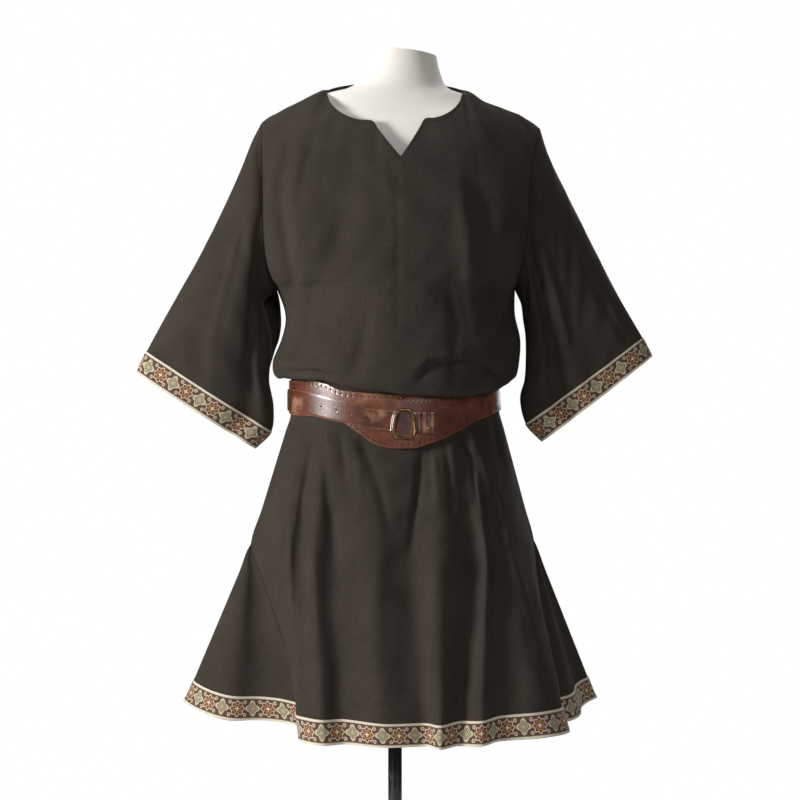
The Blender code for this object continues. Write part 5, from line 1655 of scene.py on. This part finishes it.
def braid_finish(slub):
    """Woven braid: an eight-lobed rosette and a lobed lozenge in turn, between cream edges."""
    material, wires, shader = new_finish("woven_braid")
    split = wires.add("ShaderNodeSeparateXYZ", {0: wires.uv("braid")}).outputs
    along = wires.math("DIVIDE", split[0], BRAID_REPEAT)
    repeat = wires.math("FRACT", along)
    half = wires.math("FRACT", wires.math("MULTIPLY", along, 2.0))
    x = wires.math("MULTIPLY", wires.math("SUBTRACT", half, 0.5), BRAID_REPEAT / 2)
    y = wires.math("SUBTRACT", split[1], BRAID_WIDTH / 2)
    side_x = wires.math("ABSOLUTE", x)
    side_y = wires.math("ABSOLUTE", y)
    radius = wires.length(side_x, side_y)
    turn = wires.math("ARCTAN2", y, x)
    rosette = wires.math("LESS_THAN", repeat, 0.5)
    tendril_x = wires.math("SUBTRACT", side_x, TENDRIL[0])
    tendril_y = wires.math("SUBTRACT", side_y, TENDRIL[1])
    tendril = wires.length(tendril_x, tendril_y)
    curl = wires.band(tendril, TENDRIL[2], 0.00045, 0.00025)
    colour = wires.mix(curl, srgb(*GROUND), srgb(*CREAM))
    dot = wires.step(tendril, 0.0010, 0.0006)
    colour = wires.mix(dot, colour, srgb(*GOLD))
    lobes = wires.math("COSINE", wires.math("MULTIPLY", turn, 8.0))
    rim = wires.math("MULTIPLY_ADD", lobes, ROSETTE[1], ROSETTE[0])
    edge = wires.math("SUBTRACT", radius, rim)
    flower = wires.mix(wires.step(edge, 0.0003, -0.0003), colour, srgb(*RUST))
    flower = wires.mix(wires.band(edge, 0.0, 0.0006, 0.0003), flower, srgb(*PINK_CREAM))
    inner = wires.math("SUBTRACT", radius, wires.math("MULTIPLY_ADD", lobes, -0.0007, 0.0060))
    flower = wires.mix(wires.band(inner, 0.0, 0.0005, 0.0003), flower, srgb(*GOLD))
    bars = wires.math("MAXIMUM", wires.crossed(side_y, side_x), wires.crossed(side_x, side_y))
    flower = wires.mix(bars, flower, srgb(*CREAM))
    slant = wires.math("COSINE", wires.math("MULTIPLY", turn, 4.0))
    rim = wires.math("MULTIPLY_ADD", slant, LOZENGE[1], LOZENGE[0])
    edge = wires.math("SUBTRACT", radius, rim)
    leaf = wires.mix(wires.step(edge, 0.0003, -0.0003), colour, srgb(*GREY_GREEN))
    diamond = wires.math("ADD", side_x, side_y)
    leaf = wires.mix(wires.band(diamond, 0.0078, 0.0007, 0.0003), leaf, srgb(*RUST))
    leaf = wires.mix(wires.band(diamond, 0.0045, 0.0006, 0.0003), leaf, srgb(*GROUND))
    leaf = wires.mix(wires.step(diamond, 0.0020, 0.0016), leaf, srgb(*GOLD))
    colour = wires.mix(rosette, leaf, flower)
    selvedge = wires.step(side_y, EDGE_LINE - 0.0002, EDGE_LINE + 0.0002)
    colour = wires.mix(selvedge, colour, srgb(*CREAM))
    ticks = wires.math("SINE", wires.math("MULTIPLY", split[0], 2.0 * math.pi / TICK_PITCH))
    line = wires.band(side_y, EDGE_LINE, 0.0007, 0.0002)
    picot = wires.math("MULTIPLY", line, wires.step(ticks, 0.2, 0.5))
    colour = wires.mix(picot, colour, srgb(*GROUND))
    weave = wires.use(slub, Vector=wires.uv("braid"), Threads=7800.0, Slub=0.8).outputs
    shade = wires.math("MULTIPLY_ADD", weave["Tone"], 0.9, 0.5, clamp=True)
    thread_tone = wires.mix(shade, srgb(90, 78, 64), srgb(255, 250, 240))
    colour = wires.mix(0.35, colour, thread_tone, "MULTIPLY")
    wires.put(shader.inputs["Base Color"], colour)
    shader.inputs["Roughness"].default_value = 0.78
    shader.inputs["Sheen Weight"].default_value = 0.15
    light = wires.add("ShaderNodeRGBToBW", {0: colour}).outputs[0]
    height = wires.math("MULTIPLY_ADD", weave["Height"], 0.5, light)
    wires.put(shader.inputs["Normal"], wires.bump(height, 0.0003))
    return material


# Leather's dark, middle and pale tones
BAND_TONES = ((84, 42, 28), (120, 64, 42), (172, 116, 84))
STRAP_TONES = ((74, 38, 26), (108, 60, 40), (190, 148, 120))


def leather_finish(name, grain, dark, mid, pale, roughness):
    """Waxed leather: cloudy pull-up colour, grain, scratches, and burnished edges."""
    material, wires, shader = new_finish(name)
    place = wires.in_object()
    skin = wires.use(grain, Vector=place, Grain=850.0).outputs
    edge = wires.add("ShaderNodeSeparateXYZ", {0: wires.uv("leather")}).outputs[1]
    colour = wires.mix(skin["Clouds"], srgb(*dark), srgb(*mid))
    patch = wires.step(wires.noise(place, 16.0, 3.0), 0.55, 0.72)
    colour = wires.mix(wires.math("MULTIPLY", patch, 0.55), colour, srgb(*pale))
    colour = wires.mix(wires.math("MULTIPLY", skin["Scratches"], 0.5), colour, srgb(*pale))
    worn = wires.step(edge, 0.0013, 0.0004)
    colour = wires.mix(wires.math("MULTIPLY", worn, 0.55), colour, srgb(150, 98, 62))
    wires.put(shader.inputs["Base Color"], colour)
    rough = wires.math("MULTIPLY_ADD", skin["Clouds"], -0.12, roughness)
    rough = wires.math("MULTIPLY_ADD", worn, 0.2, rough)
    wires.put(shader.inputs["Roughness"], rough)
    shader.inputs["Coat Weight"].default_value = 0.55
    shader.inputs["Coat Roughness"].default_value = 0.2
    height = wires.math("MULTIPLY_ADD", skin["Scratches"], -0.8, skin["Height"])
    wires.put(shader.inputs["Normal"], wires.bump(height, 0.00012))
    return material


def brass_finish():
    """Antiqued brass: dark in its hollows and cloudy, with brighter worn places."""
    material, wires, shader = new_finish("antique_brass")
    place = wires.in_object()
    clouds = wires.step(wires.noise(place, 160.0, 4.0, 0.6), 0.35, 0.68)
    colour = wires.mix(clouds, srgb(96, 72, 46), srgb(176, 146, 98))
    wires.put(shader.inputs["Base Color"], colour)
    shader.inputs["Metallic"].default_value = 1.0
    wires.put(shader.inputs["Roughness"], wires.math("MULTIPLY_ADD", clouds, -0.18, 0.45))
    wires.put(shader.inputs["Normal"], wires.bump(wires.noise(place, 700.0, 2.0), 0.00006))
    return material


def form_finish(slub):
    """The form's off-white stretch cover, closely woven."""
    material, wires, shader = new_finish("stretch_cover")
    place = wires.in_object()
    weave = wires.use(slub, Vector=place, Threads=6200.0, Slub=0.5).outputs
    cloudy = wires.noise(place, 9.0, 3.0)
    colour = wires.mix(cloudy, srgb(240, 234, 224), srgb(252, 249, 243))
    wires.put(shader.inputs["Base Color"], colour)
    shader.inputs["Roughness"].default_value = 0.7
    shader.inputs["Sheen Weight"].default_value = 0.1
    wires.put(shader.inputs["Normal"], wires.bump(weave["Height"], 0.00012))
    return material


def paint_finish():
    """Gloss black paint over steel, with faint ripples and a little dust."""
    material, wires, shader = new_finish("gloss_black_paint")
    place = wires.in_object()
    dust = wires.step(wires.noise(place, 45.0, 5.0, 0.65), 0.50, 0.80)
    colour = wires.mix(wires.math("MULTIPLY", dust, 0.35), srgb(14, 12, 12), srgb(52, 48, 46))
    wires.put(shader.inputs["Base Color"], colour)
    wires.put(shader.inputs["Roughness"], wires.math("MULTIPLY_ADD", dust, 0.25, 0.18))
    shader.inputs["Coat Weight"].default_value = 0.4
    wires.put(shader.inputs["Normal"], wires.bump(wires.noise(place, 260.0, 2.0), 0.00008))
    return material


def all_finishes():
    slub, grain = slub_group(), grain_group()
    return {
        "cloth": cloth_finish(slub),
        "braid": braid_finish(slub),
        "band": leather_finish("belt_leather", grain, *BAND_TONES, 0.40),
        "strap": leather_finish("strap_leather", grain, *STRAP_TONES, 0.36),
        "brass": brass_finish(),
        "form": form_finish(slub),
        "paint": paint_finish(),
    }


# The photograph's view: place, and the lens on a 36 mm sensor
CAMERA_PLACE = (0.008, -3.5, 0.95)
CAMERA_LENS = 98.4375
SENSOR = 36.0
FLOOR_HALF = 1.3

# name, place, aim, size in metres, power in watts
LIGHTS = (
    ("key", (-2.7, -1.4, 1.5), (0.0, 0.0, 0.95), 0.7, 104.0),
    ("fill", (0.6, -3.4, 1.9), (0.0, 0.0, 0.9), 0.9, 22.0),
    ("top", (0.2, 0.4, 3.2), (0.0, 0.0, 1.0), 1.6, 22.0),
    ("back", (1.6, 3.0, 1.9), (0.0, 0.0, 0.9), 2.0, 40.0),
)
AROUND = 0.07


def aim(thing, target):
    """Turns a light or camera to face a point."""
    from_it = [target[n] - thing.location[n] for n in range(3)]
    flat = math.hypot(from_it[0], from_it[1])
    turn = math.atan2(-from_it[0], from_it[1])
    thing.rotation_euler = (math.atan2(flat, -from_it[2]), 0.0, turn)


def add_camera():
    data = bpy.data.cameras.new("view")
    data.lens = CAMERA_LENS
    data.sensor_width = SENSOR
    camera = bpy.data.objects.new("view", data)
    camera.location = CAMERA_PLACE
    camera.rotation_euler = (math.pi / 2, 0.0, 0.0)
    bpy.context.scene.collection.objects.link(camera)
    bpy.context.scene.camera = camera


def add_lights():
    for name, place, target, size, power in LIGHTS:
        data = bpy.data.lights.new(name, "AREA")
        data.size = size
        data.energy = power
        light = bpy.data.objects.new(name, data)
        light.location = place
        aim(light, target)
        bpy.context.scene.collection.objects.link(light)


def add_surroundings():
    """White all round: a softer light on the part than what the view sees behind it."""
    world = bpy.data.worlds.new("white_room")
    world.use_nodes = True
    bpy.context.scene.world = world
    wires = Wiring(world.node_tree)
    sky = world.node_tree.nodes["Background"]
    sky.inputs["Color"].default_value = (1.0, 1.0, 1.0, 1.0)
    sky.inputs["Strength"].default_value = AROUND
    seen = wires.add("ShaderNodeBackground", {"Color": (1.0, 1.0, 1.0, 1.0), "Strength": 1.0})
    straight = wires.add("ShaderNodeLightPath").outputs["Is Camera Ray"]
    mixed = wires.add("ShaderNodeMixShader", {0: straight, 1: sky.outputs[0], 2: seen.outputs[0]})
    target = world.node_tree.nodes["World Output"]
    wires.put(target.inputs["Surface"], mixed.outputs[0])


def add_floor():
    data = bmesh.new()
    bmesh.ops.create_grid(data, x_segments=8, y_segments=8, size=FLOOR_HALF)
    mesh = bpy.data.meshes.new("floor")
    data.to_mesh(mesh)
    data.free()
    material, wires, shader = new_finish("pale_floor")
    cloudy = wires.noise(wires.in_object(), 2.0, 2.0)
    colour = wires.mix(cloudy, srgb(240, 240, 240), srgb(250, 250, 250))
    wires.put(shader.inputs["Base Color"], colour)
    shader.inputs["Roughness"].default_value = 0.8
    mesh.materials.append(material)
    floor = bpy.data.objects.new("floor", mesh)
    bpy.context.scene.collection.objects.link(floor)


def main():
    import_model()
    finishes = all_finishes()
    add_cloth(finishes)
    add_band(finishes)
    add_tongue(finishes)
    add_ring(finishes)
    add_tab(finishes)
    add_rivet(finishes)
    add_form(finishes)
    add_stand(finishes)
    add_camera()
    add_lights()
    add_surroundings()
    add_floor()
    bpy.context.scene.view_settings.view_transform = "Standard"


main()
